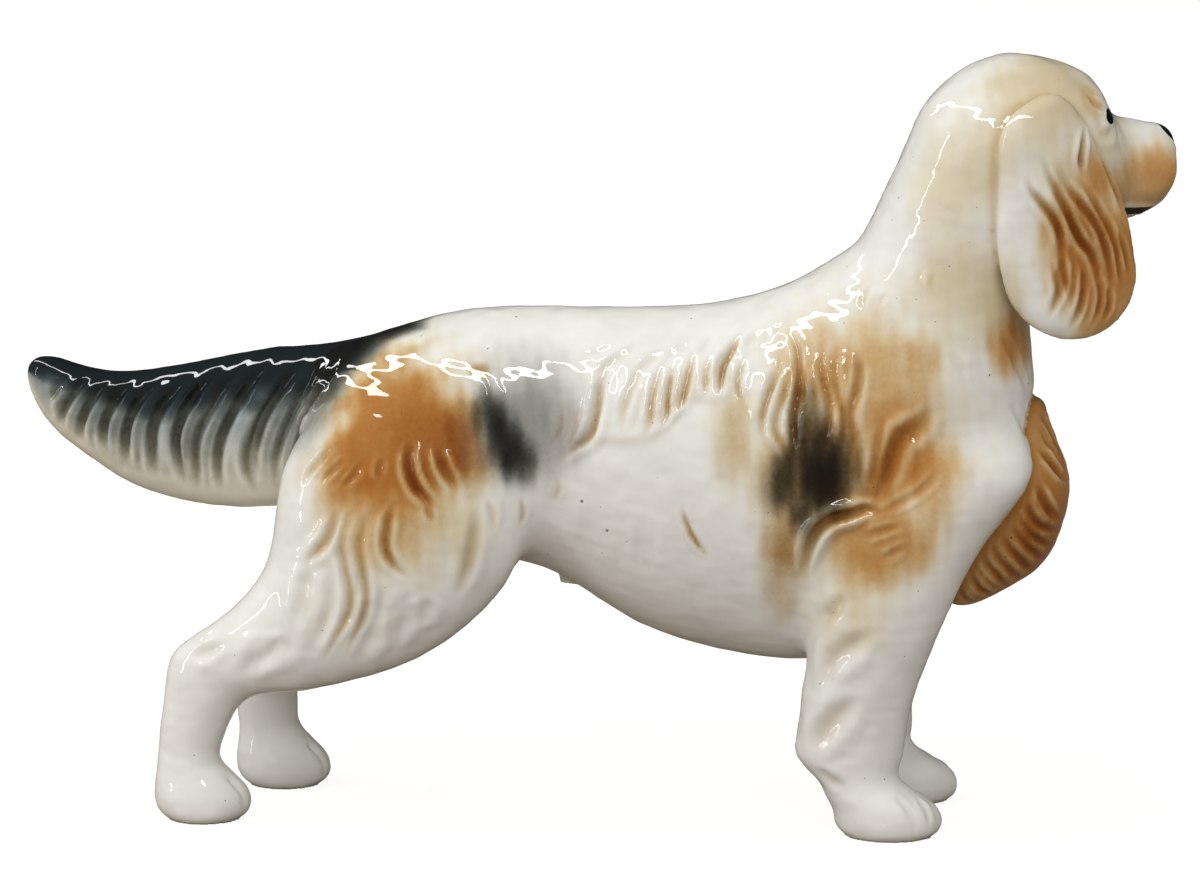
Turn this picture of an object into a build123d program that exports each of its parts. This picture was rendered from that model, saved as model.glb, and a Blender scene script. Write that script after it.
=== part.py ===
"""Standing setter figure in glazed pottery, as the castings that it is luted together from.

Millimetres. +X is the way the dog faces, +Y its left side, +Z up. The origin is on the table, under
the middle of the figure. Outline points are (forward, up), as drawn on the side view.
"""

import os
from dataclasses import dataclass, replace

from build123d import *

# Drawing
half_turn = 180.0

# Clay
wall = 4.5
vent_diameter = 3.0
vent_forward = -6.0

# Stance
front_spread = 40.0
hind_spread = 40.0
front_left_step = 2.7
hind_left_step = 14.0
step_share = 1.4

# Trunk and neck: back line, then belly and breast line, then widths. A narrowing is how much less than
# the shoulder a section of the chest measures
rump_end_top = (-71.0, 111.5)
tail_head = (-62.0, 120.5)
croup = (-49.0, 124.2)
hip_top = (-36.0, 127.8)
loin_top = (-10.0, 129.7)
back_middle = (12.0, 129.8)
rib_top = (32.0, 131.4)
withers = (50.0, 136.7)
neck_base = (60.6, 142.8)
neck_dip = (67.0, 147.8)
neck_nape = (71.6, 156.5)
neck_joint_top = (77.4, 170.2)
rump_end_low = (-71.0, 88.5)
seat = (-62.0, 82.0)
groin = (-50.0, 73.5)
flank = (-37.0, 67.5)
tuck_up = (-12.0, 63.0)
belly_middle = (10.0, 50.5)
rib_low = (34.0, 42.7)
brisket = (64.0, 41.8)
breast_low = (92.0, 56.5)
breast_front = (109.5, 86.5)
throat_low = (111.0, 115.5)
neck_joint_front = (110.5, 143.5)
rump_end_width = 20.0
tail_head_width = 38.0
croup_width = 46.0
hip_width = 52.0
loin_width = 49.0
shoulder_width = 63.0
belly_narrowing = 6.0
rib_narrowing = 2.0
breast_narrowing = 3.0
neck_base_width = 53.0
neck_nape_width = 46.0
neck_joint_width = 42.0

# Head: outline points as drawn with the head straight, before it turns about the neck pivot
neck_pivot = 100.0
head_turn = 20.0
nape_turn = 3.0
neck_joint_turn = 10.0
occiput = (83.3, 182.2)
crown_back = (91.6, 190.0)
crown = (104.4, 194.4)
forehead = (117.6, 192.0)
brow = (125.6, 187.2)
eye_line = (128.2, 182.3)
stop = (131.2, 178.9)
bridge = (136.6, 177.4)
nose_back = (141.4, 176.2)
nose_top = (145.3, 174.6)
lip_top = (146.6, 170.6)
lip_tip_top = (147.4, 168.0)
gullet = (117.2, 149.0)
jaw_corner = (122.6, 150.4)
jaw_middle = (126.6, 151.6)
jaw_front = (129.8, 152.0)
chin_back = (132.2, 152.1)
chin = (134.0, 152.3)
flew_back = (135.8, 152.6)
flew_low = (138.6, 153.8)
flew_front = (142.3, 155.7)
lip_low = (144.9, 158.9)
lip_front = (146.0, 162.8)
lip_tip_low = (147.0, 165.6)
occiput_width = 42.5
crown_back_width = 43.0
crown_width = 41.5
forehead_width = 36.5
brow_width = 31.0
eye_width = 27.0
stop_width = 25.0
bridge_width = 24.5
nose_back_width = 23.5
nose_top_width = 19.5
lip_width = 12.5
lip_tip_width = 4.5
skull_fullest = 0.5
muzzle_fullest = 0.36

# Ear, rear then front edge and thickness, with the head straight
ear_top = ((104.9, 185.4), (110.3, 185.9), 4.0)
ear_root = ((99.5, 182.4), (113.7, 183.1), 7.5)
ear_upper = ((95.3, 177.4), (117.2, 178.4), 9.5)
ear_middle = ((93.9, 167.9), (121.4, 169.9), 10.0)
ear_lower = ((93.9, 156.8), (126.8, 159.6), 9.5)
ear_fullest = ((94.8, 144.8), (130.0, 147.1), 9.0)
ear_skirt = ((97.3, 136.0), (130.3, 137.3), 8.5)
ear_hem = ((102.0, 129.8), (126.8, 130.6), 7.5)
ear_end = ((107.3, 126.6), (122.2, 127.0), 5.0)
ear_tip = ((111.3, 125.3), (116.8, 125.3), 2.5)
ear_spread = 40.5
ear_flare = 1.5

# Tail plume, lower then upper edge, and thickness
tail_tip = ((-145.5, 110.0), (-145.3, 112.4), 2.5)
tail_round = ((-144.0, 104.8), (-143.0, 114.6), 6.5)
tail_curl = ((-140.4, 98.4), (-138.8, 115.1), 9.5)
tail_neck = ((-132.2, 91.2), (-130.0, 112.6), 12.0)
tail_thin = ((-121.7, 84.0), (-120.0, 111.6), 14.0)
tail_middle = ((-108.9, 79.1), (-107.0, 113.2), 15.5)
tail_full = ((-95.8, 77.0), (-93.0, 116.1), 16.5)
tail_seat = ((-79.0, 77.6), (-77.0, 119.0), 17.5)
tail_set = ((-64.0, 82.5), (-62.0, 121.2), 18.0)
tail_root = ((-52.0, 92.5), (-50.0, 120.5), 15.0)
tail_fullest = 0.6

# Breast feather, rear then front edge, and width
feather_top = ((103.0, 111.5), (108.8, 111.5), 9.0)
feather_throat = ((102.0, 103.5), (115.0, 102.4), 21.0)
feather_upper = ((100.0, 94.5), (118.9, 93.6), 28.0)
feather_front = ((98.0, 86.5), (120.5, 84.6), 32.0)
feather_middle = ((94.0, 78.5), (118.8, 76.0), 32.0)
feather_lower = ((89.0, 71.5), (115.6, 68.5), 29.0)
feather_hem = ((84.0, 65.5), (109.5, 62.5), 25.0)
feather_back = ((82.0, 60.5), (101.5, 57.7), 20.0)
feather_end = ((82.0, 57.0), (94.0, 55.5), 13.0)

# Front leg, rear then front edge, width, and how far its middle lies inside the foot's middle
front_shoulder = ((78.0, 110.5), (105.0, 110.5), 14.0, 8.0)
front_upper_arm = ((64.0, 95.5), (112.0, 95.5), 24.0, 2.5)
front_arm = ((56.0, 77.5), (102.5, 77.5), 27.0, 1.0)
front_elbow = ((55.5, 60.5), (93.0, 60.5), 26.0, 0.5)
front_forearm = ((56.0, 48.5), (87.6, 48.5), 23.5, 0.0)
front_feather = ((54.7, 36.5), (83.2, 36.5), 20.5, 0.0)
front_shin = ((53.6, 26.5), (81.0, 26.5), 18.0, 0.0)
front_wrist = ((54.0, 19.0), (79.8, 19.0), 17.0, 0.0)
front_pastern = ((58.6, 14.0), (79.5, 14.5), 16.5, 0.0)
front_instep = ((60.8, 10.0), (84.8, 10.5), 18.5, 0.0)
front_toe = ((62.8, 6.2), (89.3, 6.5), 20.5, 0.0)
front_pad = ((63.4, 2.8), (90.0, 3.0), 20.5, 0.0)
front_edge = ((65.0, 0.8), (88.6, 0.8), 19.0, 0.0)
front_sole = ((66.5, 0.0), (86.8, 0.0), 16.5, 0.0)

# Toes: grooves cut from the foot's rounded front
toe_groove_width = 1.3
toe_groove_depth = 1.0
toe_groove_spacing = 6.8
toe_groove_reach = 6.0
toe_groove_top = 62.0
toe_groove_start = -30.0
front_toe_radius = 11.0
hind_toe_radius = 9.5

# Hind leg, rear then front edge, width, and how far its middle lies inside the foot's middle
hind_croup = ((-58.0, 115.5), (-36.0, 116.0), 10.0, 10.5)
hind_hip = ((-67.5, 109.0), (-23.5, 108.0), 18.0, 6.5)
hind_haunch = ((-73.5, 97.5), (-13.5, 94.0), 25.0, 3.2)
hind_thigh = ((-77.6, 83.0), (-14.6, 71.6), 29.0, 1.5)
hind_stifle = ((-79.8, 68.5), (-26.8, 53.7), 28.0, 1.0)
hind_gaskin = ((-86.2, 57.6), (-46.0, 40.7), 24.0, 0.5)
hind_hamstring = ((-93.6, 51.0), (-62.0, 35.7), 20.0, 0.0)
hind_hock_top = ((-100.6, 46.2), (-74.0, 33.3), 17.5, 0.0)
hind_hock = ((-105.4, 41.0), (-83.0, 32.2), 15.5, 0.0)
hind_hock_low = ((-106.8, 32.6), (-88.6, 28.0), 14.2, 0.0)
hind_shank = ((-108.2, 23.2), (-91.6, 21.6), 13.5, 0.0)
hind_pastern = ((-109.0, 14.6), (-92.4, 14.8), 14.0, 0.0)
hind_instep = ((-109.6, 9.8), (-87.8, 10.2), 17.0, 0.0)
hind_toe = ((-109.8, 5.8), (-85.2, 6.0), 19.0, 0.0)
hind_pad = ((-109.0, 2.5), (-85.4, 2.6), 19.0, 0.0)
hind_edge = ((-107.0, 0.7), (-87.2, 0.7), 17.5, 0.0)
hind_sole = ((-105.2, 0.0), (-89.5, 0.0), 15.0, 0.0)

# Locks of hair: the main gouge cuts in the plume and in the coat, each drawn from its upper end down
lock_width = 6.4
lock_depth = 1.1
lock_rise = 0.9
lock_end_share = 0.35
tail_locks = (
    ((-128.8, 110.1), (-133.6, 104.2), (-136.4, 97.0)),
    ((-122.6, 109.7), (-127.7, 104.4), (-130.8, 97.4), (-131.1, 93.0)),
    ((-116.7, 108.9), (-122.2, 103.6), (-124.6, 96.6), (-124.1, 90.0)),
    ((-110.4, 108.8), (-115.9, 103.7), (-118.8, 95.8), (-119.3, 87.0)),
    ((-103.7, 109.7), (-109.2, 103.8), (-112.0, 96.0), (-111.8, 84.0)),
    ((-94.1, 113.8), (-102.0, 104.2), (-105.5, 95.1), (-103.7, 82.2)),
    ((-81.7, 116.0), (-90.4, 103.4), (-94.7, 93.8), (-94.4, 80.6)),
    ((-72.8, 116.3), (-80.2, 104.8), (-84.9, 92.4), (-84.8, 84.0)),
)
coat_locks = (
    ((7.4, 119.9), (4.2, 109.6), (2.1, 100.8), (-5.0, 95.0)),
    ((23.0, 118.9), (21.5, 110.0), (19.7, 102.9)),
    ((39.0, 126.1), (35.1, 117.9), (34.4, 110.4)),
    ((48.4, 122.5), (46.8, 112.0), (46.1, 99.8)),
    ((51.5, 127.5), (53.8, 117.6), (52.9, 107.7), (52.6, 96.1)),
    ((58.8, 125.2), (60.1, 115.0), (59.9, 104.0), (58.0, 98.6)),
    ((68.3, 123.3), (68.9, 118.6), (67.4, 109.5)),
)


@dataclass(frozen=True)
class Section:
    """One cross-section of a casting, drawn across the side view from start to finish.

    Attributes:
        start: Lower or rear end of the section on the side view, forward and up.
        finish: Upper or front end of the section on the side view, forward and up.
        width: Size of the section across the figure.
        fullest: Share of the way from start to finish at which the section is widest.
        offset: How far the section's middle lies to the figure's left.
        turn: Degrees that the section turns to the left about the neck pivot.
    """

    start: tuple[float, float]
    finish: tuple[float, float]
    width: float
    fullest: float = 0.5
    offset: float = 0.0
    turn: float = 0.0

    @property
    def length(self) -> float:
        """Length of the section on the side view."""
        return (Vector(*self.finish) - Vector(*self.start)).length

    @property
    def plane(self) -> Plane:
        """Plane of the section: x across the figure, y from start to finish."""
        pivot = Axis((neck_pivot, 0, 0), (0, 0, 1))
        start = Vector(self.start[0], self.offset, self.start[1])
        along = Vector(self.finish[0], self.offset, self.finish[1]) - start
        middle = start + along * self.fullest
        frame = Plane(middle, x_dir=(0, 1, 0), z_dir=Vector(0, 1, 0).cross(along))
        return Plane(Pos(pivot.position) * Rot(0, 0, self.turn) * Pos(-pivot.position) * frame.location)

    def inside(self, thickness: float) -> "Section":
        """Give the section of the hollow that leaves a wall of the given thickness."""
        share = thickness / self.length
        step_x = (self.finish[0] - self.start[0]) * share
        step_z = (self.finish[1] - self.start[1]) * share
        return replace(
            self,
            start=(self.start[0] + step_x, self.start[1] + step_z),
            finish=(self.finish[0] - step_x, self.finish[1] - step_z),
            width=self.width - 2 * thickness,
        )


def outlines(sections: list[Section]) -> list[Sketch]:
    """Draw each section as a face made of an upper and a lower half ellipse, ready to be lofted."""
    faces = []
    for section in sections:
        upper = section.length * (1 - section.fullest)
        lower = section.length * section.fullest
        with BuildSketch(section.plane) as outline:
            with BuildLine():
                EllipticalCenterArc((0, 0), section.width / 2, upper, 0, arc_size=half_turn)
                EllipticalCenterArc((0, 0), section.width / 2, lower, half_turn, arc_size=half_turn)
            make_face()
        faces.append(outline.sketch)
    return faces


trunk_sections = [
    Section(rump_end_low, rump_end_top, rump_end_width),
    Section(seat, tail_head, tail_head_width),
    Section(groin, croup, croup_width),
    Section(flank, hip_top, hip_width),
    Section(tuck_up, loin_top, loin_width),
    Section(belly_middle, back_middle, shoulder_width - belly_narrowing),
    Section(rib_low, rib_top, shoulder_width - rib_narrowing),
    Section(brisket, withers, shoulder_width),
    Section(breast_low, neck_base, shoulder_width - breast_narrowing),
    Section(breast_front, neck_dip, neck_base_width),
    Section(throat_low, neck_nape, neck_nape_width, turn=nape_turn),
]
neck_joint = Section(neck_joint_front, neck_joint_top, neck_joint_width, turn=neck_joint_turn)

head_sections = [
    Section(gullet, occiput, occiput_width, skull_fullest, turn=head_turn),
    Section(jaw_corner, crown_back, crown_back_width, skull_fullest, turn=head_turn),
    Section(jaw_middle, crown, crown_width, skull_fullest, turn=head_turn),
    Section(jaw_front, forehead, forehead_width, skull_fullest, turn=head_turn),
    Section(chin_back, brow, brow_width, muzzle_fullest, turn=head_turn),
    Section(chin, eye_line, eye_width, muzzle_fullest, turn=head_turn),
    Section(flew_back, stop, stop_width, muzzle_fullest, turn=head_turn),
    Section(flew_low, bridge, bridge_width, muzzle_fullest, turn=head_turn),
    Section(flew_front, nose_back, nose_back_width, muzzle_fullest, turn=head_turn),
    Section(lip_low, nose_top, nose_top_width, muzzle_fullest, turn=head_turn),
    Section(lip_front, lip_top, lip_width, muzzle_fullest, turn=head_turn),
    Section(lip_tip_low, lip_tip_top, lip_tip_width, muzzle_fullest, turn=head_turn),
]

tail_sections = [
    Section(start, finish, width, tail_fullest)
    for start, finish, width in (
        tail_tip, tail_round, tail_curl, tail_neck, tail_thin,
        tail_middle, tail_full, tail_seat, tail_set, tail_root,
    )
]

feather_sections = [
    Section(start, finish, width)
    for start, finish, width in (
        feather_top, feather_throat, feather_upper, feather_front, feather_middle,
        feather_lower, feather_hem, feather_back, feather_end,
    )
]


def ear_sections(side: int) -> list[Section]:
    """List the ear's sections for one side of the head, +1 for the left ear."""
    stations = (
        ear_top, ear_root, ear_upper, ear_middle, ear_lower,
        ear_fullest, ear_skirt, ear_hem, ear_end, ear_tip,
    )
    sections = []
    for order, (start, finish, thickness) in enumerate(stations):
        flare = ear_flare * order / (len(stations) - 1)
        offset = side * (ear_spread / 2 + flare)
        sections.append(Section(start, finish, thickness, offset=offset, turn=head_turn))
    return sections


def leg_sections(stations, spread: float, side: int, step: float, step_from: float) -> list[Section]:
    """List a leg's sections, its lower end stepped forward.

    Args:
        stations: Rear edge, front edge, width and inset of each section, from the body to the sole.
        spread: Distance between the middles of the two feet.
        side: +1 for the left leg, -1 for the right one.
        step: How far the foot stands ahead.
        step_from: Height at which the step starts.
    """
    sections = []
    for start, finish, width, inset in stations:
        height = (start[1] + finish[1]) / 2
        ahead = step * min(max((step_from - height) / step_from * step_share, 0.0), 1.0)
        sections.append(
            Section(
                (start[0] + ahead, start[1]),
                (finish[0] + ahead, finish[1]),
                width,
                offset=side * (spread / 2 - inset),
            )
        )
    return sections


def gouge(form: Part, path: tuple[tuple[float, float], ...], side: int) -> list[Sketch]:
    """Draw the sections of a V-shaped cut that follows the surface of a form, shallow at both ends.

    Args:
        form: The form that is cut.
        path: Points of the cut on the side view, forward and up.
        side: +1 for the left side, -1 for the right one.
    """
    places = []
    for forward, up in path:
        sight = Axis((forward, side * shoulder_width, up), (0, -side, 0))
        places.append(min(form.find_intersection_points(sight), key=lambda hit: -side * hit[0].Y))
    sections = []
    for order, (place, normal) in enumerate(places):
        before, after = places[max(order - 1, 0)][0], places[min(order + 1, len(places) - 1)][0]
        share = lock_end_share if order in (0, len(places) - 1) else 1.0
        along = after - before
        outward = normal if side * normal.Y > 0 else -normal
        with BuildSketch(Plane(place, x_dir=outward.cross(along), z_dir=along)) as section:
            with BuildLine():
                Polyline(
                    (-share * lock_width / 2, lock_rise), (0, -share * lock_depth),
                    (share * lock_width / 2, lock_rise), close=True,
                )
            make_face()
        sections.append(section.sketch)
    return sections


front_stations = (
    front_shoulder, front_upper_arm, front_arm, front_elbow, front_forearm, front_feather, front_shin,
    front_wrist, front_pastern, front_instep, front_toe, front_pad, front_edge, front_sole,
)
hind_stations = (
    hind_croup, hind_hip, hind_haunch, hind_thigh, hind_stifle, hind_gaskin, hind_hamstring, hind_hock_top,
    hind_hock, hind_hock_low, hind_shank, hind_pastern, hind_instep, hind_toe, hind_pad, hind_edge, hind_sole,
)

# Outside form of the two drained castings, and the hollow that they share through the neck joint
with BuildPart() as body_form:
    loft(outlines([*trunk_sections, neck_joint, *head_sections]))

hollow_sections = [*trunk_sections[1:], neck_joint, *head_sections[:4]]
with BuildPart() as hollow:
    loft(outlines([section.inside(wall) for section in hollow_sections]))

with BuildPart() as trunk:
    add(body_form.part)
    add(hollow.part, mode=Mode.SUBTRACT)
    split(bisect_by=neck_joint.plane, keep=Keep.BOTTOM)
    with BuildSketch(Plane((vent_forward, 0, 0))):
        Circle(vent_diameter / 2)
    extrude(amount=loin_top[1] / 2 + tuck_up[1] / 2, mode=Mode.SUBTRACT)
    for path in coat_locks:
        for side in (-1, 1):
            loft(gouge(body_form.part, path, side), mode=Mode.SUBTRACT)

with BuildPart() as head:
    add(body_form.part)
    add(hollow.part, mode=Mode.SUBTRACT)
    split(bisect_by=neck_joint.plane, keep=Keep.TOP)

castings = {"trunk": trunk.part, "head": head.part}

for name, side in (("right_ear", -1), ("left_ear", 1)):
    with BuildPart() as ear:
        loft(outlines(ear_sections(side)))
        add(body_form.part, mode=Mode.SUBTRACT)
    castings[name] = ear.part

with BuildPart() as tail_form:
    loft(outlines(tail_sections))
    add(body_form.part, mode=Mode.SUBTRACT)

with BuildPart() as tail:
    add(tail_form.part)
    for path in tail_locks:
        for side in (-1, 1):
            loft(gouge(tail_form.part, path, side), mode=Mode.SUBTRACT)
castings["tail"] = tail.part

front_kind = (front_stations, front_spread, front_shin[0][1], front_pad[1], front_toe_radius)
hind_kind = (hind_stations, hind_spread, hind_gaskin[0][1], hind_pad[1], hind_toe_radius)
for name, kind, side, step in (
    ("front_right_leg", front_kind, -1, 0.0),
    ("front_left_leg", front_kind, 1, front_left_step),
    ("hind_right_leg", hind_kind, -1, 0.0),
    ("hind_left_leg", hind_kind, 1, hind_left_step),
):
    stations, spread, step_from, toe, toe_radius = kind
    toe_middle = Vector(toe[0] + step - toe_radius, side * spread / 2, toe[1])
    toe_groove_arc = toe_groove_top - toe_groove_start
    with BuildPart() as leg:
        loft(outlines(leg_sections(stations, spread, side, step, step_from)))
        add(body_form.part, mode=Mode.SUBTRACT)
        add(tail_form.part, mode=Mode.SUBTRACT)
        with BuildSketch(Plane(toe_middle, x_dir=(1, 0, 0), z_dir=(0, -1, 0))) as groove:
            with BuildLine():
                inner = CenterArc((0, 0), toe_radius - toe_groove_depth, toe_groove_start, toe_groove_arc)
                outer = CenterArc((0, 0), toe_radius + toe_groove_reach, toe_groove_start, toe_groove_arc)
                Line(inner @ 0, outer @ 0)
                Line(inner @ 1, outer @ 1)
            make_face()
        for place in (-toe_groove_spacing / 2, toe_groove_spacing / 2):
            cut = groove.sketch.moved(Pos(0, place, 0))
            extrude(cut, amount=toe_groove_width / 2, both=True, mode=Mode.SUBTRACT)
    castings[name] = leg.part

with BuildPart() as chest_feather:
    loft(outlines(feather_sections))
    add(body_form.part, mode=Mode.SUBTRACT)
    add(castings["front_right_leg"], mode=Mode.SUBTRACT)
    add(castings["front_left_leg"], mode=Mode.SUBTRACT)
castings["chest_feather"] = chest_feather.part

os.makedirs("parts", exist_ok=True)
for name, casting in castings.items():
    casting.label = name
    export_step(casting, f"parts/{name}.step")
    print(f"{name}: {casting.volume / 1000:.1f} cm3, {len(casting.solids())} solid(s)")
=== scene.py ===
"""Standing setter figure in glazed pottery, modelled over its packed castings.

The ten castings are luted into one skin of clay. The coat of hair is carved into that skin and the
colours are sprayed on it. The skin is then parted again along the luted joints, so that each casting is
a piece of its own.
"""

import logging
import math
from dataclasses import dataclass, field
from enum import Enum

import bpy
import numpy as np
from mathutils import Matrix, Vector
from mathutils.bvhtree import BVHTree


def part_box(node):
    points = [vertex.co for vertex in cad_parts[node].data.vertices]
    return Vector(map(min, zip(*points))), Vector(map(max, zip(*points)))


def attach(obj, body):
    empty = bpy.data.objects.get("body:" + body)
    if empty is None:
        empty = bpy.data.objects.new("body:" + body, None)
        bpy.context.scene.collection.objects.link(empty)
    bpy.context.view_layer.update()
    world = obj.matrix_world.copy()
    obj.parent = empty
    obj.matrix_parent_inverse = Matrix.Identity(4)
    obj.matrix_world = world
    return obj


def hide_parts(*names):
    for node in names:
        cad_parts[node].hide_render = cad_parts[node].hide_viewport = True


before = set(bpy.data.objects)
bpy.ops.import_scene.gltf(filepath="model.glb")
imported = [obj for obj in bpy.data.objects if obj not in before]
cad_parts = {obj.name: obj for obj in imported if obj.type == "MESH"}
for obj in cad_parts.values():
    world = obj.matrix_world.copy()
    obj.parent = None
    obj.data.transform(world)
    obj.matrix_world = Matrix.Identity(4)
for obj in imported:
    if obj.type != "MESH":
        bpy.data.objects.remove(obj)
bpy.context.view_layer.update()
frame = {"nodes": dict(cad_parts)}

MM = 0.001
Path = tuple[tuple[float, float], ...]
Colour = tuple[float, float, float]
log = logging.getLogger("setter")


class Side(Enum):
    """The two sides of the dog, by the sign of Y."""

    RIGHT = -1
    LEFT = 1


class Pigment(Enum):
    """The colours in the sprayer's pots, by the name of the attribute that holds their density."""

    SAND = "sand"
    TAN = "tan"
    UMBER = "umber"
    SMOKE = "smoke"
    BLACK = "black"


@dataclass(frozen=True)
class Lock:
    """One groove between two locks of hair, drawn in side view in millimetres."""

    width: float
    depth: float
    stain_and_shade: float
    path: Path


@dataclass(frozen=True)
class Drape:
    """The lower edge of a fall of hair, with a line of painted shadow under it, drawn in side view in
    millimetres from back to front.
    """

    rise: float
    height: float
    stain_and_shade: float
    edge: Path
    ends: float = 8.0


@dataclass(frozen=True)
class Spray:
    """One soft spot of sprayed colour, drawn in side view in millimetres."""

    pigment: Pigment
    centre: tuple[float, float]
    reach: tuple[float, float]
    density: float
    lean: float = 0.0
    core: float = 0.1


def srgb(red: float, green: float, blue: float) -> Colour:
    """Turns a display colour of 0 to 255 into the linear colour that a shader takes.

    Args:
        red: Red, 0 to 255.
        green: Green, 0 to 255.
        blue: Blue, 0 to 255.

    Returns:
        The linear colour.
    """
    share = [c / 255 for c in (red, green, blue)]
    return tuple(c / 12.92 if c <= 0.04045 else ((c + 0.055) / 1.055) ** 2.4 for c in share)


def ramp(low: float, high: float, value: np.ndarray) -> np.ndarray:
    """Rises smoothly from 0 at low to 1 at high.

    Args:
        low: Value at which the ramp starts.
        high: Value at which the ramp ends.
        value: Values to look up.

    Returns:
        The ramp's height at each value.
    """
    t = np.clip((value - low) / (high - low), 0.0, 1.0)
    return t * t * (3.0 - 2.0 * t)


def ripple(places: np.ndarray, wavelength: float, seed: int, stretch: tuple = (1.0, 1.0, 1.0)) -> np.ndarray:
    """Gives a smooth, hand-made unevenness, about -1 to 1.

    Args:
        places: Points, one a row.
        wavelength: Usual distance from crest to crest, in the points' unit.
        seed: Number that fixes the pattern.
        stretch: How much closer the crests are along each axis.

    Returns:
        The height at each point.
    """
    dice = np.random.default_rng(seed)
    total = np.zeros(len(places))
    for _ in range(10):
        way = dice.normal(size=3)
        way = way / np.linalg.norm(way) * np.array(stretch)
        pitch = 2.0 * math.pi / wavelength * dice.uniform(0.6, 1.5)
        total += np.sin(pitch * (places @ way) + dice.uniform(0.0, 2.0 * math.pi))
    return total / 4.5


def flowing(path: Path, step: float) -> np.ndarray:
    """Draws a smooth line through a few points.

    Args:
        path: The points, in millimetres.
        step: Distance between the points of the line.

    Returns:
        The points of the line.
    """
    knots = np.array(path, float)
    ends = np.vstack([2 * knots[0] - knots[1], knots, 2 * knots[-1] - knots[-2]])
    drawn = []
    for a, b, c, d in zip(ends[:-3], ends[1:-2], ends[2:-1], ends[3:]):
        count = max(2, int(np.linalg.norm(c - b) / step))
        t = np.linspace(0.0, 1.0, count, endpoint=False)[:, None]
        drawn.append(0.5 * (2 * b + (c - a) * t + (2 * a - 5 * b + 4 * c - d) * t**2
                            + (3 * b - a - 3 * c + d) * t**3))
    return np.vstack([*drawn, knots[-1:]])


def between(first: Lock, second: Lock) -> Lock | None:
    """Draws a finer groove half way between two neighbouring ones.

    Args:
        first: One groove.
        second: The other groove.

    Returns:
        The finer groove, or None where the two aren't neighbours.
    """
    knots, nearest, farthest = 5, 2.4, 9.0
    lines = []
    for lock in (first, second):
        line = flowing(lock.path, 0.5)
        lines.append(line[np.linspace(0, len(line) - 1, knots).astype(int)])
    gap = np.linalg.norm(lines[0] - lines[1], axis=1)
    if gap.min() < nearest or gap.max() > farthest:
        return None
    path = tuple((float(x), float(z)) for x, z in 0.5 * (lines[0] + lines[1]))
    depth, stain_and_shade = min(first.depth, second.depth), min(first.stain_and_shade, second.stain_and_shade)
    return Lock(max(0.9, 0.7 * min(first.width, second.width)), 0.5 * depth, 0.3 * stain_and_shade, path)


def select_only(*pieces: bpy.types.Object) -> None:
    """Selects these objects and no others, the first one active.

    Args:
        *pieces: The objects.
    """
    bpy.ops.object.select_all(action="DESELECT")
    for piece in pieces:
        piece.select_set(True)
    bpy.context.view_layer.objects.active = pieces[0]


@dataclass(frozen=True)
class HeadTurn:
    """The turn of the head to the dog's left, about an upright line through the neck."""

    pivot: float = 100.0
    degrees: float = 20.0

    def straight(self, places: np.ndarray) -> np.ndarray:
        """Turns points back to where they would be with the head straight.

        Args:
            places: Points in millimetres.

        Returns:
            The points with the head straight.
        """
        return self._turn(places, -self.degrees)

    def turned(self, places: np.ndarray) -> np.ndarray:
        """Turns points drawn with the head straight to where they are.

        Args:
            places: Points in millimetres.

        Returns:
            The points with the head turned.
        """
        return self._turn(places, self.degrees)

    def _turn(self, places: np.ndarray, degrees: float) -> np.ndarray:
        """Turns points about the upright line.

        Args:
            places: Points in millimetres.
            degrees: The angle.

        Returns:
            The turned points.
        """
        c, s = math.cos(math.radians(degrees)), math.sin(math.radians(degrees))
        x, y = places[:, 0] - self.pivot, places[:, 1]
        return np.column_stack([self.pivot + c * x - s * y, s * x + c * y, places[:, 2]])


HEAD_TURN = HeadTurn()


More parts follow.
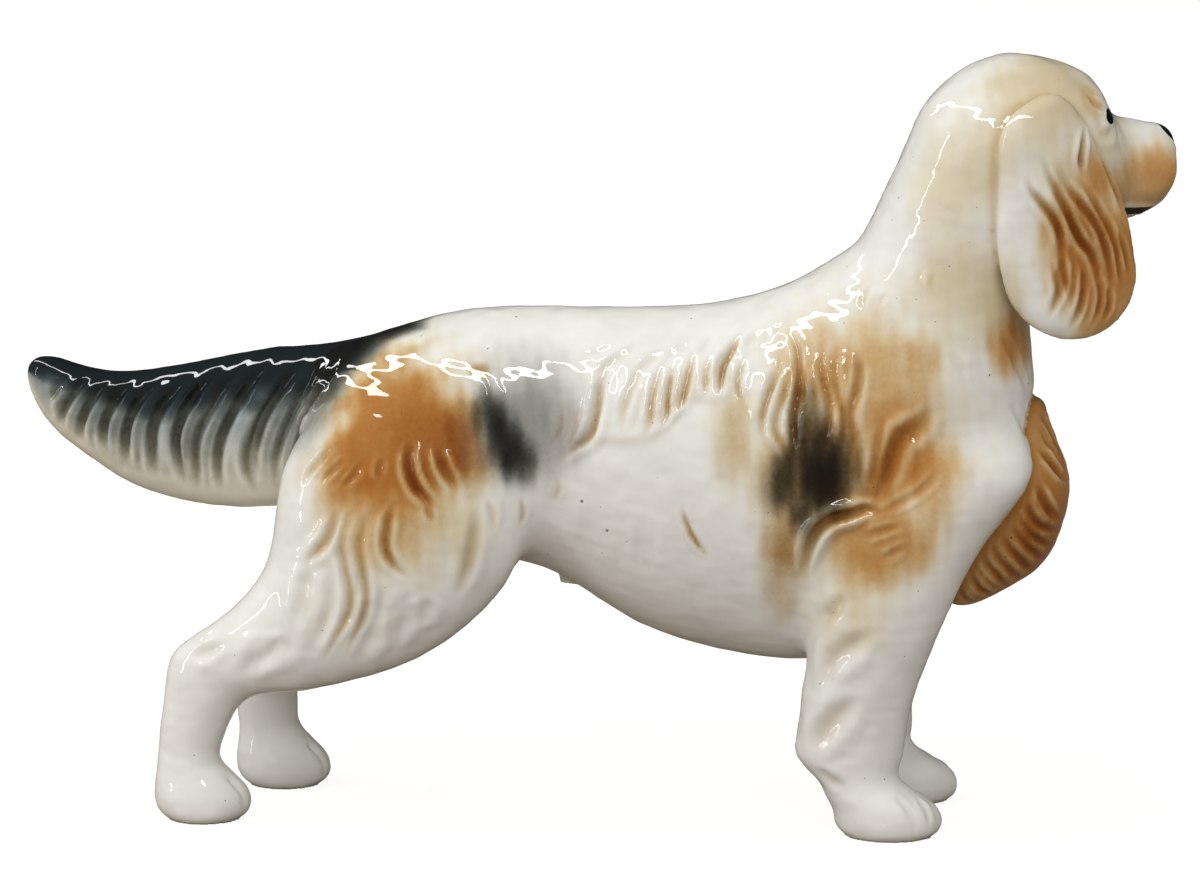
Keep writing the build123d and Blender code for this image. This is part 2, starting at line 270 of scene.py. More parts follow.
@dataclass
class ClaySkin:
    """The luted figure as one skin of clay, before it is parted into castings again."""

    grain: float = 0.69
    smoothing: int = 12
    lute_smoothing: int = 340
    lute_reach: float = 12.0
    joint_depth: float = 1.2
    vent: tuple[float, float, float] = (-6.0, 0.0, 62.5)
    vent_diameter: float = 3.0
    deepest: float = 2.6
    stain_and_shade_strength: float = 0.42
    comb_height: float = 0.13
    crease_depth: float = 0.9
    crease_width: float = 1.2
    crease_shade: float = 0.12
    wave_gain: float = 1.1
    wave_length: float = 2.2
    wave_fade: float = 2.6
    wave_reach: float = 4.4
    hair_reach: float = 3.0
    stain_reach: float = 0.85
    patchiness: float = 0.07
    streakiness: float = 0.09
    crest_thinning: float = 0.5
    crest_height: float = 0.5
    hand_swell: float = 0.07
    hand_marks: float = 0.05
    sole: float = 0.45
    step_up: float = 3.0
    obj: bpy.types.Object = field(init=False, default=None)
    tree: BVHTree = field(init=False, default=None)
    names: list[str] = field(init=False, default_factory=list)
    owner: np.ndarray = field(init=False, default=None)
    places: np.ndarray = field(init=False, default=None)
    normals: np.ndarray = field(init=False, default=None)
    lift: np.ndarray = field(init=False, default=None)
    carved: np.ndarray = field(init=False, default=None)
    stain_and_shade: np.ndarray = field(init=False, default=None)
    hair: np.ndarray = field(init=False, default=None)
    edge: np.ndarray = field(init=False, default=None)
    density: dict[Pigment, np.ndarray] = field(init=False, default_factory=dict)

    def lute(self, nodes: dict[str, bpy.types.Object]) -> None:
        """Joins copies of the castings into one closed skin and smooths the joints as wet slip does.

        Args:
            nodes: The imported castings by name.
        """
        self.names = sorted(nodes)
        copies = []
        for name in self.names:
            copy = bpy.data.objects.new("clay_" + name, nodes[name].data.copy())
            bpy.context.scene.collection.objects.link(copy)
            copies.append(copy)
        bpy.ops.object.select_all(action="DESELECT")
        bpy.ops.mesh.primitive_cylinder_add(vertices=24, radius=0.8 * self.vent_diameter * MM, depth=8 * MM,
                                            location=[c * MM for c in self.vent])
        plug = bpy.context.active_object
        select_only(*copies, plug)
        bpy.ops.object.join()
        self.obj = copies[0]
        bpy.ops.object.mode_set(mode="EDIT")
        bpy.ops.mesh.select_all(action="SELECT")
        bpy.ops.mesh.remove_doubles(threshold=0.002 * MM)
        bpy.ops.object.mode_set(mode="OBJECT")
        remesh = self.obj.modifiers.new("press", "REMESH")
        remesh.mode = "VOXEL"
        remesh.voxel_size = self.grain * MM
        bpy.ops.object.modifier_apply(modifier=remesh.name)
        self._keep_outside()
        self._smooth("smooth", self.smoothing, None)
        self._read()
        seam = self._find_owners(nodes)
        group = self.obj.vertex_groups.new(name="joints")
        for level in range(1, 11):
            members = np.flatnonzero(np.round(seam * 10) == level)
            if len(members):
                group.add(members.tolist(), level / 10, "REPLACE")
        self._smooth("slip", self.lute_smoothing, group.name)
        self.obj.vertex_groups.clear()
        self._read()
        log.info("skin of %d points", len(self.places))

    def _smooth(self, name: str, passes: int, group: str | None) -> None:
        """Applies a smoothing modifier.

        Args:
            name: The modifier's name.
            passes: How often it smooths.
            group: The vertex group that it is kept to, or None for the whole skin.
        """
        select_only(self.obj)
        smooth = self.obj.modifiers.new(name, "SMOOTH")
        smooth.factor = 0.5
        smooth.iterations = passes
        if group:
            smooth.vertex_group = group
        bpy.ops.object.modifier_apply(modifier=smooth.name)

    def _keep_outside(self) -> None:
        """Drops any closed surface inside the skin, such as the wall of the hollow."""
        select_only(self.obj)
        bpy.ops.object.mode_set(mode="EDIT")
        bpy.ops.mesh.select_all(action="SELECT")
        bpy.ops.mesh.separate(type="LOOSE")
        bpy.ops.object.mode_set(mode="OBJECT")
        parts = sorted(bpy.context.selected_objects, key=lambda o: len(o.data.vertices))
        for part in parts[:-1]:
            bpy.data.objects.remove(part)
        self.obj = parts[-1]
        self.obj.name = "clay_skin"
        self.obj.data.materials.clear()

    def _read(self) -> None:
        """Reads the skin's points and normals, and makes it ready to be traced on."""
        mesh = self.obj.data
        mesh.update()
        count = len(mesh.vertices)
        buffer = np.zeros(count * 3, np.float32)
        mesh.vertices.foreach_get("co", buffer)
        self.places = buffer.reshape(-1, 3).astype(float) / MM
        self.places[:, 2] = np.where(self.places[:, 2] < self.sole, 0.0, self.places[:, 2])
        mesh.vertices.foreach_set("co", (self.places * MM).ravel().astype(np.float32))
        mesh.update()
        mesh.vertex_normals.foreach_get("vector", buffer)
        self.normals = buffer.reshape(-1, 3).astype(float)
        self.tree = BVHTree.FromObject(self.obj, bpy.context.evaluated_depsgraph_get())
        self.lift = np.zeros(count)
        self.carved = np.zeros(count)
        self.stain_and_shade = np.zeros(count)
        self.hair = np.zeros(count)
        self.density = {pigment: np.zeros(count) for pigment in Pigment}

    def _find_owners(self, nodes: dict[str, bpy.types.Object]) -> np.ndarray:
        """Finds the casting that each point lies on.

        Args:
            nodes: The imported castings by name.

        Returns:
            How near each point is to a joint that the potter smoothed over, 0 to 1.
        """
        graph = bpy.context.evaluated_depsgraph_get()
        gaps = np.full((len(self.places), len(self.names)), 99.0)
        for order, name in enumerate(self.names):
            low, high = (np.array(c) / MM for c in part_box(name))
            near = np.flatnonzero(((self.places > low - self.lute_reach)
                                   & (self.places < high + self.lute_reach)).all(1))
            tree = BVHTree.FromObject(nodes[name], graph)
            for i in near:
                found = tree.find_nearest(Vector(self.places[i] * MM), (self.lute_reach + 1.0) * MM)
                if found[3] is not None:
                    gaps[i, order] = found[3] / MM
        self.owner = gaps.argmin(1)
        loose = [self.names.index(n) for n in ("right_ear", "left_ear", "chest_feather")]
        fast = gaps.copy()
        fast[:, loose] = 99.0
        fast.sort(axis=1)
        seam = 1.0 - ramp(0.5, self.lute_reach, fast[:, 1])
        hair = gaps[:, loose].min(1)
        self.edge = np.maximum(hair, fast[:, 0])
        return seam * ramp(0.5, 4.0, hair)

    def trace(self, path: Path, side: Side, head: bool, on: tuple[str, ...], drift: float) -> np.ndarray:
        """Lays a side-view line on the skin.

        Args:
            path: The line's points in millimetres.
            side: The side of the dog that it is drawn on.
            head: Whether it is drawn with the head straight.
            on: Names of the castings that it may lie on, or nothing for all of them.
            drift: How far the line is moved forward.

        Returns:
            The points of the line on the skin, in millimetres.
        """
        drawn = flowing(path, 0.55)
        aside = np.full(len(drawn), 90.0 * side.value)
        starts = np.column_stack([drawn[:, 0] + drift, aside, drawn[:, 1]])
        way = np.array([[0.0, -side.value, 0.0]])
        if head:
            starts = HEAD_TURN.turned(starts)
            way = HEAD_TURN.turned(way + [[HEAD_TURN.pivot, 0, 0]]) - [[HEAD_TURN.pivot, 0, 0]]
        allowed = {self.names.index(n) for n in on}
        corners = self.obj.data.polygons
        line = []
        for start in starts:
            origin = Vector(start * MM)
            for _ in range(4):
                hit, _, index, _ = self.tree.ray_cast(origin, Vector(way[0]))
                if hit is None:
                    break
                if not allowed or self.owner[corners[index].vertices[0]] in allowed:
                    line.append(np.array(hit) / MM)
                    break
                origin = hit + Vector(way[0]) * 0.0003
        kept = [p for i, p in enumerate(line) if i == 0 or abs(p[1] - line[i - 1][1]) < self.step_up]
        return np.array(kept)

    def carve(self, lock: Lock, line: np.ndarray) -> None:
        """Presses one groove in the skin, with a soft wave of hair on each side.

        Args:
            lock: The groove.
            line: Its line on the skin, in millimetres.
        """
        if len(line) < 4:
            return
        reach = self.wave_reach * lock.width
        inside = (self.places > line.min(0) - reach) & (self.places < line.max(0) + reach)
        near = np.flatnonzero(inside.all(1))
        away = np.linalg.norm(self.places[near][:, None, :] - line[None], axis=2)
        along = away.argmin(1) / (len(line) - 1)
        taper = ramp(-0.02, 0.35, along) * (1.0 - ramp(0.62, 1.03, along))
        far = away.min(1) / (lock.width * (0.65 + 0.35 * taper))
        groove = np.exp(-far * far)
        wave = np.cos(math.pi * far / self.wave_length) * np.exp(-((far / self.wave_fade) ** 2))
        self.lift[near] -= self.wave_gain * lock.depth * taper * wave
        self.carved[near] = np.maximum(self.carved[near], taper * groove * min(1.0, lock.depth / 0.9))
        self.hair[near] = np.maximum(self.hair[near], taper * np.exp(-((far / self.hair_reach) ** 2)))
        tint = self.stain_and_shade_strength * lock.stain_and_shade * taper * np.exp(-((far / self.stain_reach) ** 2))
        tint = tint * (0.45 + 0.55 * ramp(0.15, 0.7, along))
        self.stain_and_shade[near] = np.maximum(self.stain_and_shade[near], tint)

    def drape(self, fall: Drape, side: Side) -> None:
        """Lets a fall of hair stand proud above its lower edge, and paints its shadow in a line under that
        edge.

        Args:
            fall: The fall of hair.
            side: The side that it hangs on.
        """
        edge = flowing(fall.edge, 0.5)
        first, last = edge[0, 0], edge[-1, 0]
        x = self.places[:, 0]
        above = self.places[:, 2] - np.interp(x, edge[:, 0], edge[:, 1])
        shown = ramp(first, first + fall.ends, x) * (1.0 - ramp(last - fall.ends, last, x))
        shown = shown * ramp(-0.2, 0.2, side.value * self.normals[:, 1])
        fading = 1.0 - ramp(0.25 * fall.height, fall.height, above)
        self.lift += fall.rise * shown * ramp(-2.6, 1.2, above) * fading
        # painted shadow: a dark line just under the edge, where the raised hair would shade the belly
        line = self.stain_and_shade_strength * fall.stain_and_shade * shown * np.exp(-(((above + 0.5) / 0.8) ** 2))
        self.stain_and_shade = np.maximum(self.stain_and_shade, line)

    def dent(self, centre: tuple[float, float, float], reach: float, height: float) -> None:
        """Raises or sinks a round spot of the skin.

        Args:
            centre: Middle of the spot, in millimetres.
            reach: Its radius.
            height: How far it is raised, or sunk if under 0.
        """
        far = np.linalg.norm(self.places - np.array(centre), axis=1) / reach
        self.lift += height * np.exp(-1.6 * far * far)

    def spray(self, spot: Spray, side: Side, head: bool, drift: float, wrap: bool) -> None:
        """Sprays one spot of colour on one side.

        Args:
            spot: The spot.
            side: The side that it is sprayed from.
            head: Whether it is drawn with the head straight.
            drift: How far the spot is moved forward.
            wrap: Whether the colour runs round the edges of the casting.
        """
        places, normals = self.places, self.normals
        if head:
            places = HEAD_TURN.straight(places)
            normals = HEAD_TURN.straight(normals + [HEAD_TURN.pivot, 0, 0]) - [HEAD_TURN.pivot, 0, 0]
        across, up = places[:, 0] - spot.centre[0] - drift, places[:, 2] - spot.centre[1]
        c, s = math.cos(math.radians(spot.lean)), math.sin(math.radians(spot.lean))
        far = np.hypot((c * across + s * up) / spot.reach[0], (c * up - s * across) / spot.reach[1])
        far = far + self.patchiness * ripple(self.places, 14.0, 5)
        far = far + self.streakiness * ripple(self.places, 4.5, 6, (1.0, 0.7, 0.2))
        facing = ramp(-0.3, 0.15, side.value * normals[:, 1]) * ramp(-1.0, 1.5, side.value * places[:, 1])
        fade = 1.0 - ramp(spot.core, 1.0, far)
        if spot.pigment is Pigment.BLACK:
            fade = fade * fade
        amount = spot.density * fade * (1.0 if wrap else facing)
        pot = self.density[spot.pigment]
        self.density[spot.pigment] = 1.0 - (1.0 - pot) * (1.0 - amount)

    def crests(self) -> np.ndarray:
        """Gives how far each point stands out on the crest of a lock, 0 to 1."""
        return np.clip(self.lift / self.crest_height, 0.0, 1.0)

    def comb(self) -> None:
        """Combs fine lines in the hair, sinks the line where an ear or the ruff meets the body, and paints
        shade along that line.
        """
        self.lift += self.comb_height * self.hair * ripple(self.places, 2.6, 31, (1.0, 0.7, 0.16))
        crease = np.exp(-((self.edge / self.crease_width) ** 2))
        self.lift -= self.crease_depth * crease
        # painted shade: the crease where an ear or the ruff meets the body is darkened
        self.stain_and_shade = np.maximum(self.stain_and_shade, self.crease_shade * crease)

    def settle(self) -> None:
        """Moves the skin by all that was carved in it, and smooths off the tool marks."""
        crest = self.crests()
        for pigment in (Pigment.SAND, Pigment.TAN, Pigment.UMBER):
            self.density[pigment] = self.density[pigment] * (1.0 - self.crest_thinning * crest)
        hand = self.hand_swell * ripple(self.places, 9.0, 11)
        hand = hand + self.hand_marks * ripple(self.places, 3.4, 12, (0.45, 1.0, 1.0))
        moved = np.clip(self.lift, -self.deepest, self.deepest) + hand
        moved = np.where(self.places[:, 2] < 1.2, 0.0, moved)
        carved, stain_and_shade, density, owner = self.carved, self.stain_and_shade, self.density, self.owner
        shifted = self.places + self.normals * moved[:, None]
        self.obj.data.vertices.foreach_set("co", (shifted * MM).ravel().astype(np.float32))
        self._smooth("wash", 2, None)
        self._read()
        self.carved, self.stain_and_shade, self.density, self.owner = carved, stain_and_shade, density, owner

    def write(self) -> None:
        """Stores the carving, the colours and the normals on the skin's points."""
        mesh = self.obj.data
        values = {"carved": self.carved, "stain_and_shade": self.stain_and_shade}
        values.update({pigment.value: self.density[pigment] for pigment in Pigment})
        for name, value in values.items():
            kept = mesh.attributes.new(name, "FLOAT", "POINT")
            kept.data.foreach_set("value", np.clip(value, 0.0, 1.0).astype(np.float32))
        kept = mesh.attributes.new("skin_normal", "FLOAT_VECTOR", "POINT")
        kept.data.foreach_set("vector", self.normals.ravel().astype(np.float32))

    def part(self) -> dict[str, bpy.types.Object]:
        """Parts the skin along the joints and closes each casting behind its joint.

        Returns:
            The castings' pieces by name.
        """
        mesh = self.obj.data
        for name in self.names:
            mesh.materials.append(bpy.data.materials.new("part_" + name))
        corners = np.zeros(len(mesh.loops), np.int32)
        mesh.loops.foreach_get("vertex_index", corners)
        starts = np.zeros(len(mesh.polygons), np.int32)
        mesh.polygons.foreach_get("loop_start", starts)
        mesh.polygons.foreach_set("material_index", self.owner[corners[starts]].astype(np.int32))
        select_only(self.obj)
        bpy.ops.object.mode_set(mode="EDIT")
        bpy.ops.mesh.select_all(action="SELECT")
        bpy.ops.mesh.separate(type="MATERIAL")
        bpy.ops.object.mode_set(mode="OBJECT")
        pieces = {}
        for piece in list(bpy.context.selected_objects):
            name = piece.data.materials[0].name.removeprefix("part_")
            pieces[name] = piece
            piece.name = piece.data.name = name + "_fired"
            piece.data.materials.clear()
            self._close(piece)
        return pieces

    def _close(self, piece: bpy.types.Object) -> None:
        """Closes a casting where it was parted, and keeps the skin's own normals along the joint.

        Args:
            piece: The casting's piece.
        """
        select_only(piece)
        mesh = piece.data
        bpy.ops.object.mode_set(mode="EDIT")
        bpy.ops.mesh.select_mode(type="EDGE")
        bpy.ops.mesh.select_all(action="DESELECT")
        bpy.ops.mesh.select_non_manifold(extend=False, use_wire=False, use_boundary=True,
                                         use_multi_face=False, use_non_contiguous=False, use_verts=False)
        bpy.ops.mesh.extrude_edges_move()
        bpy.ops.object.mode_set(mode="OBJECT")
        count = len(mesh.vertices)
        picked = np.zeros(count, bool)
        mesh.vertices.foreach_get("select", picked)
        places, normals = np.zeros(count * 3, np.float32), np.zeros(count * 3, np.float32)
        mesh.vertices.foreach_get("co", places)
        mesh.attributes["skin_normal"].data.foreach_get("vector", normals)
        inward = (normals.reshape(-1, 3) * picked[:, None] * self.joint_depth * MM).ravel()
        mesh.vertices.foreach_set("co", (places - inward).astype(np.float32))
        bpy.ops.object.mode_set(mode="EDIT")
        bpy.ops.mesh.select_all(action="SELECT")
        bpy.ops.mesh.fill_holes(sides=0)
        bpy.ops.object.mode_set(mode="OBJECT")
        mesh.shade_smooth()
        buffer = np.zeros(len(mesh.vertices) * 3, np.float32)
        mesh.attributes["skin_normal"].data.foreach_get("vector", buffer)
        mesh.normals_split_custom_set_from_vertices(buffer.reshape(-1, 3).tolist())
        mesh.attributes.remove(mesh.attributes["skin_normal"])


@dataclass
class Casting:
    """One clay casting of the figure, with the hair carved in it and the colours sprayed on it."""

    node: str
    slot: str
    side: Side | None = None
    locks: tuple[Lock, ...] = ()
    sprays: tuple[Spray, ...] = ()
    head: bool = False
    wrap: bool = False

    def sides(self) -> tuple[Side, ...]:
        """Gives the casting's own side, or both sides for a casting in the middle."""
        return tuple(Side) if self.side is None else (self.side,)

    def on(self) -> tuple[str, ...]:
        """Names the castings that this one's locks may lie on, or none for all."""
        return ()

    def drift(self, height: float) -> float:
        """Gives how far forward the casting stands from where it is drawn, at a height."""
        return 0.0

    def carve(self, skin: ClaySkin) -> None:
        """Carves the casting's locks in the skin.

        Args:
            skin: The skin.
        """
        finer = [between(*pair) for pair in zip(self.locks[:-1], self.locks[1:])]
        drawn = (*self.locks, *(lock for lock in finer if lock))
        for side in self.sides():
            for order, lock in enumerate(drawn):
                height = float(np.mean([p[1] for p in lock.path]))
                stray = 0.0 if side is Side.RIGHT else 0.3 * math.sin(2.4 * order)
                line = skin.trace(lock.path, side, self.head, self.on(), self.drift(height) + stray)
                skin.carve(lock, line)

    def colour(self, skin: ClaySkin) -> None:
        """Sprays the casting's colours on the skin.

        Args:
            skin: The skin.
        """
        for side in self.sides():
            for order, spot in enumerate(self.sprays):
                stray = 0.0 if side is Side.RIGHT else 1.5 * math.sin(1.7 * order)
                skin.spray(spot, side, self.head, stray, self.wrap)

    def dress(self, piece: bpy.types.Object, glazes: dict[str, bpy.types.Material]) -> None:
        """Glazes the casting's piece and hands it to the frame.

        Args:
            piece: The piece that stands for the casting.
            glazes: The glazes by slot.
        """
        piece.data.materials.append(glazes[self.slot])
        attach(piece, "root")
        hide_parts(self.node)
        log.info("%s: %d faces in %s", piece.name, len(piece.data.polygons), self.slot)


FLANK_LOCKS = (
    Lock(1.3, 0.85, 0.5, ((7.4, 119.9), (4.9, 114.8), (4.2, 109.6), (3.6, 104.8), (2.1, 100.8),
                          (-1.6, 97.7), (-5.9, 94.5))),
    Lock(1.2, 0.45, 0.25, ((16.3, 121.0), (14.1, 116.9), (11.9, 111.7), (10.6, 107.0), (10.0, 101.2))),
    Lock(1.1, 0.7, 0.55, ((20.0, 119.3), (18.3, 113.8), (17.5, 109.1), (17.2, 104.3), (15.5, 100.9))),
    Lock(1.0, 0.8, 0.8, ((23.0, 118.9), (21.8, 113.8), (21.5, 109.6), (21.4, 106.3), (19.7, 102.9))),
    Lock(1.1, 0.9, 0.9, ((27.8, 121.3), (26.6, 117.2), (25.8, 113.0), (25.0, 109.7), (23.1, 106.8))),
    Lock(0.9, 0.6, 0.5, ((31.8, 121.4), (30.9, 116.8), (30.8, 112.7), (31.2, 110.3))),
    Lock(1.2, 1.0, 1.0, ((39.0, 126.1), (36.9, 121.5), (35.1, 117.9), (34.5, 114.2), (34.4, 110.4))),
    Lock(0.9, 0.6, 0.45, ((40.9, 120.8), (39.1, 116.6), (38.8, 113.3), (40.4, 109.6))),
    Lock(0.7, 0.7, 0.85, ((25.4, 85.9), (25.9, 82.1), (27.4, 77.8), (29.8, 73.7), (32.3, 71.2))),
    Lock(2.6, 0.25, 0.0, ((4.4, 86.0), (2.0, 77.0), (1.7, 66.0))),
    Lock(2.6, 0.25, 0.0, ((10.6, 86.0), (8.2, 76.0), (8.5, 64.0))),
    Lock(2.6, 0.25, 0.0, ((17.2, 85.0), (15.2, 75.0), (15.4, 62.0))),
    Lock(1.2, 0.4, 0.05, ((14.1, 122.9), (9.4, 119.9), (4.6, 116.6), (1.2, 113.3))),
    Lock(1.1, 0.4, 0.05, ((20.3, 121.5), (16.5, 118.8), (14.2, 115.5))),
    Lock(1.1, 0.35, 0.0, ((7.6, 122.6), (3.8, 120.7), (-0.2, 119.7))),
    Lock(1.1, 0.4, 0.0, ((26.7, 123.4), (22.8, 121.1), (20.1, 117.9))),
    Lock(1.0, 0.35, 0.0, ((32.6, 124.9), (30.2, 122.7), (29.4, 120.0))),
    Lock(1.0, 0.4, 0.0, ((44.5, 127.2), (41.7, 124.4), (39.8, 122.1))),
    Lock(1.0, 0.4, 0.0, ((49.5, 129.2), (46.6, 126.4), (43.8, 123.6))),
)
SHOULDER_LOCKS = (
    Lock(1.1, 0.9, 0.95, ((50.6, 127.5), (53.1, 122.7), (53.8, 117.6), (53.5, 112.9), (52.9, 107.7),
                          (52.8, 101.4), (52.6, 94.1))),
    Lock(1.1, 0.7, 0.55, ((48.4, 122.5), (48.8, 118.8), (47.5, 114.6), (45.9, 109.8), (45.0, 105.0),
                          (46.1, 99.8))),
    Lock(1.0, 0.6, 0.4, ((51.3, 123.7), (52.3, 119.2), (50.7, 113.3), (48.9, 108.5), (48.3, 103.7),
                         (50.8, 98.9), (52.6, 93.1))),
    Lock(1.2, 0.6, 0.3, ((56.8, 124.0), (55.6, 118.1), (55.0, 111.1), (56.4, 103.9), (55.3, 96.8))),
    Lock(1.1, 0.7, 0.6, ((60.2, 126.4), (59.2, 121.8), (59.6, 117.1), (61.2, 111.2), (61.3, 106.4),
                         (60.2, 99.2), (59.0, 92.2))),
    Lock(1.1, 0.7, 0.5, ((63.5, 125.9), (62.4, 120.7), (62.8, 114.8), (64.7, 107.7), (64.3, 100.4),
                         (62.5, 93.3))),
    Lock(1.2, 0.7, 0.55, ((67.5, 124.2), (68.7, 118.5), (68.0, 113.3), (66.7, 107.8), (67.3, 101.7),
                          (66.4, 93.3))),
    Lock(1.2, 0.6, 0.3, ((75.0, 108.9), (73.4, 100.5), (72.3, 93.1), (70.8, 86.8))),
    Lock(2.0, 0.8, 0.6, ((88.6, 110.7), (83.8, 105.4), (79.0, 102.2), (76.6, 96.8), (74.7, 90.6),
                         (72.3, 85.4))),
    Lock(1.5, 0.25, 0.05, ((81.1, 124.5), (82.8, 121.9), (84.6, 119.3))),
    Lock(0.9, 0.4, 0.15, ((89.1, 96.7), (86.5, 91.6), (81.7, 87.7), (76.8, 85.1), (72.9, 83.5))),
    Lock(0.9, 0.4, 0.3, ((69.0, 77.6), (74.4, 79.2), (80.5, 81.3))),
    Lock(0.9, 0.3, 0.2, ((74.5, 71.8), (78.2, 74.4), (80.8, 76.1))),
    # the elbow crease: its stain darkens the fold as pooled glaze and as painted shade
    Lock(1.3, 2.5, 0.6, ((55.6, 66.3), (56.1, 71.3), (57.1, 75.3), (59.1, 79.1), (62.5, 82.0),
                         (66.9, 83.3), (70.9, 84.6), (75.4, 83.4))),
    Lock(0.9, 0.2, 0.05, ((83.6, 143.8), (83.0, 140.4), (84.5, 137.1))),
    Lock(0.9, 0.2, 0.1, ((86.6, 142.5), (85.7, 139.5), (86.7, 137.6))),
    Lock(0.9, 0.4, 0.1, ((71.2, 138.5), (69.4, 135.4), (69.0, 132.1))),
    Lock(0.9, 0.35, 0.1, ((74.8, 136.6), (73.6, 135.0), (72.9, 133.7))),
    Lock(1.2, 0.3, 0.1, ((102.4, 127.9), (105.4, 122.6), (108.3, 115.6), (110.4, 109.0))),
    Lock(1.2, 0.3, 0.0, ((105.5, 110.2), (108.5, 103.6), (110.0, 98.0))),
    Lock(1.0, 0.25, 0.0, ((90.8, 123.6), (93.8, 118.2), (95.3, 115.1))),
)
LOIN_LOCKS = (
    Lock(0.8, 0.2, 0.35, ((-6.7, 110.2), (-5.1, 105.7), (-5.7, 101.3), (-9.2, 97.4))),
    Lock(0.8, 0.25, 0.35, ((-0.7, 110.6), (-1.0, 104.6), (-2.7, 99.7), (-5.4, 97.1))),
    Lock(0.8, 0.2, 0.3, ((-7.0, 90.9), (-6.0, 87.4), (-7.4, 83.4))),
    Lock(0.9, 0.3, 0.3, ((-24.9, 115.7), (-21.6, 109.1), (-20.4, 101.8), (-19.0, 93.8))),
)
FLANK_FALL = Drape(0.6, 20.0, 0.05, (
    (-5.4, 94.0), (-1.6, 95.5), (3.4, 99.9), (9.8, 100.4), (16.5, 101.4), (20.2, 103.0), (23.8, 106.6),
    (27.2, 111.2), (31.9, 110.4), (35.6, 111.2), (38.0, 114.0), (40.9, 110.1), (43.5, 106.0), (45.8, 102.4),
    (49.6, 97.7), (53.4, 93.6),
))
SHOULDER_SPRAYS = (
    Spray(Pigment.SAND, (68.0, 103.0), (38.0, 43.0), 0.5, core=0.3),
    Spray(Pigment.SAND, (90.0, 160.0), (13.0, 28.0), 0.5),
    Spray(Pigment.SAND, (93.0, 137.0), (20.0, 18.0), 0.6),
    Spray(Pigment.SAND, (98.6, 172.0), (12.0, 18.0), 0.5),
    Spray(Pigment.SAND, (103.0, 133.0), (9.0, 13.0), 0.7),
    Spray(Pigment.SAND, (38.4, 101.0), (9.0, 18.0), 0.45),
    Spray(Pigment.SAND, (70.0, 70.0), (20.0, 18.0), 0.45),
    Spray(Pigment.TAN, (71.0, 111.0), (22.0, 27.0), 0.27, core=0.25),
    Spray(Pigment.TAN, (79.0, 99.0), (11.0, 19.0), 0.52, core=0.1),
    Spray(Pigment.TAN, (57.8, 118.0), (14.0, 15.0), 0.26),
    Spray(Pigment.TAN, (74.0, 78.0), (19.0, 17.0), 0.5, core=0.25),
    Spray(Pigment.TAN, (86.0, 92.0), (13.0, 17.0), 0.4),
    Spray(Pigment.TAN, (84.0, 121.0), (8.0, 8.0), 0.15),
    Spray(Pigment.TAN, (106.0, 124.0), (7.5, 11.0), 0.66),
    Spray(Pigment.UMBER, (58.0, 92.0), (20.0, 19.0), 0.24, core=0.2),
    Spray(Pigment.UMBER, (52.0, 76.0), (9.0, 13.0), 0.24),
    Spray(Pigment.UMBER, (50.0, 68.0), (8.0, 18.0), 0.15),
    Spray(Pigment.UMBER, (38.4, 101.0), (7.0, 16.0), 0.1),
    Spray(Pigment.BLACK, (60.5, 93.0), (13.0, 17.0), 0.86, -8.0),
    Spray(Pigment.BLACK, (50.5, 91.0), (7.5, 14.0), 0.45, -12.0),
    Spray(Pigment.BLACK, (56.5, 105.0), (9.0, 15.0), 0.3),
    Spray(Pigment.BLACK, (55.0, 83.0), (5.5, 11.0), 0.35),
)


@dataclass
class Trunk(Casting):
    """The body and neck, with the fringes of the flanks and shoulders."""

    locks: tuple[Lock, ...] = FLANK_LOCKS + SHOULDER_LOCKS + LOIN_LOCKS
    fall: Drape = FLANK_FALL
    belly_top: float = 75.0
    vent_depth: float = 1.6
    sprays: tuple[Spray, ...] = SHOULDER_SPRAYS

    def carve(self, skin: ClaySkin) -> None:
        """Carves both sides of the trunk, and the vent under the belly, whose shallow dimple is painted dark
        as painted shade.

        Args:
            skin: The skin.
        """
        for side in self.sides():
            skin.drape(self.fall, side)
        super().carve(skin)
        across = np.hypot(skin.places[:, 0] - skin.vent[0], skin.places[:, 1] - skin.vent[1])
        below = (skin.normals[:, 2] < -0.5) & (skin.places[:, 2] < self.belly_top)
        under = (across < 0.6 * skin.vent_diameter) & below
        skin.lift[under] -= self.vent_depth
        # painted shade: the dimple is coloured dark to stand for the dark inside the open vent
        skin.density[Pigment.UMBER][under] = 1.0


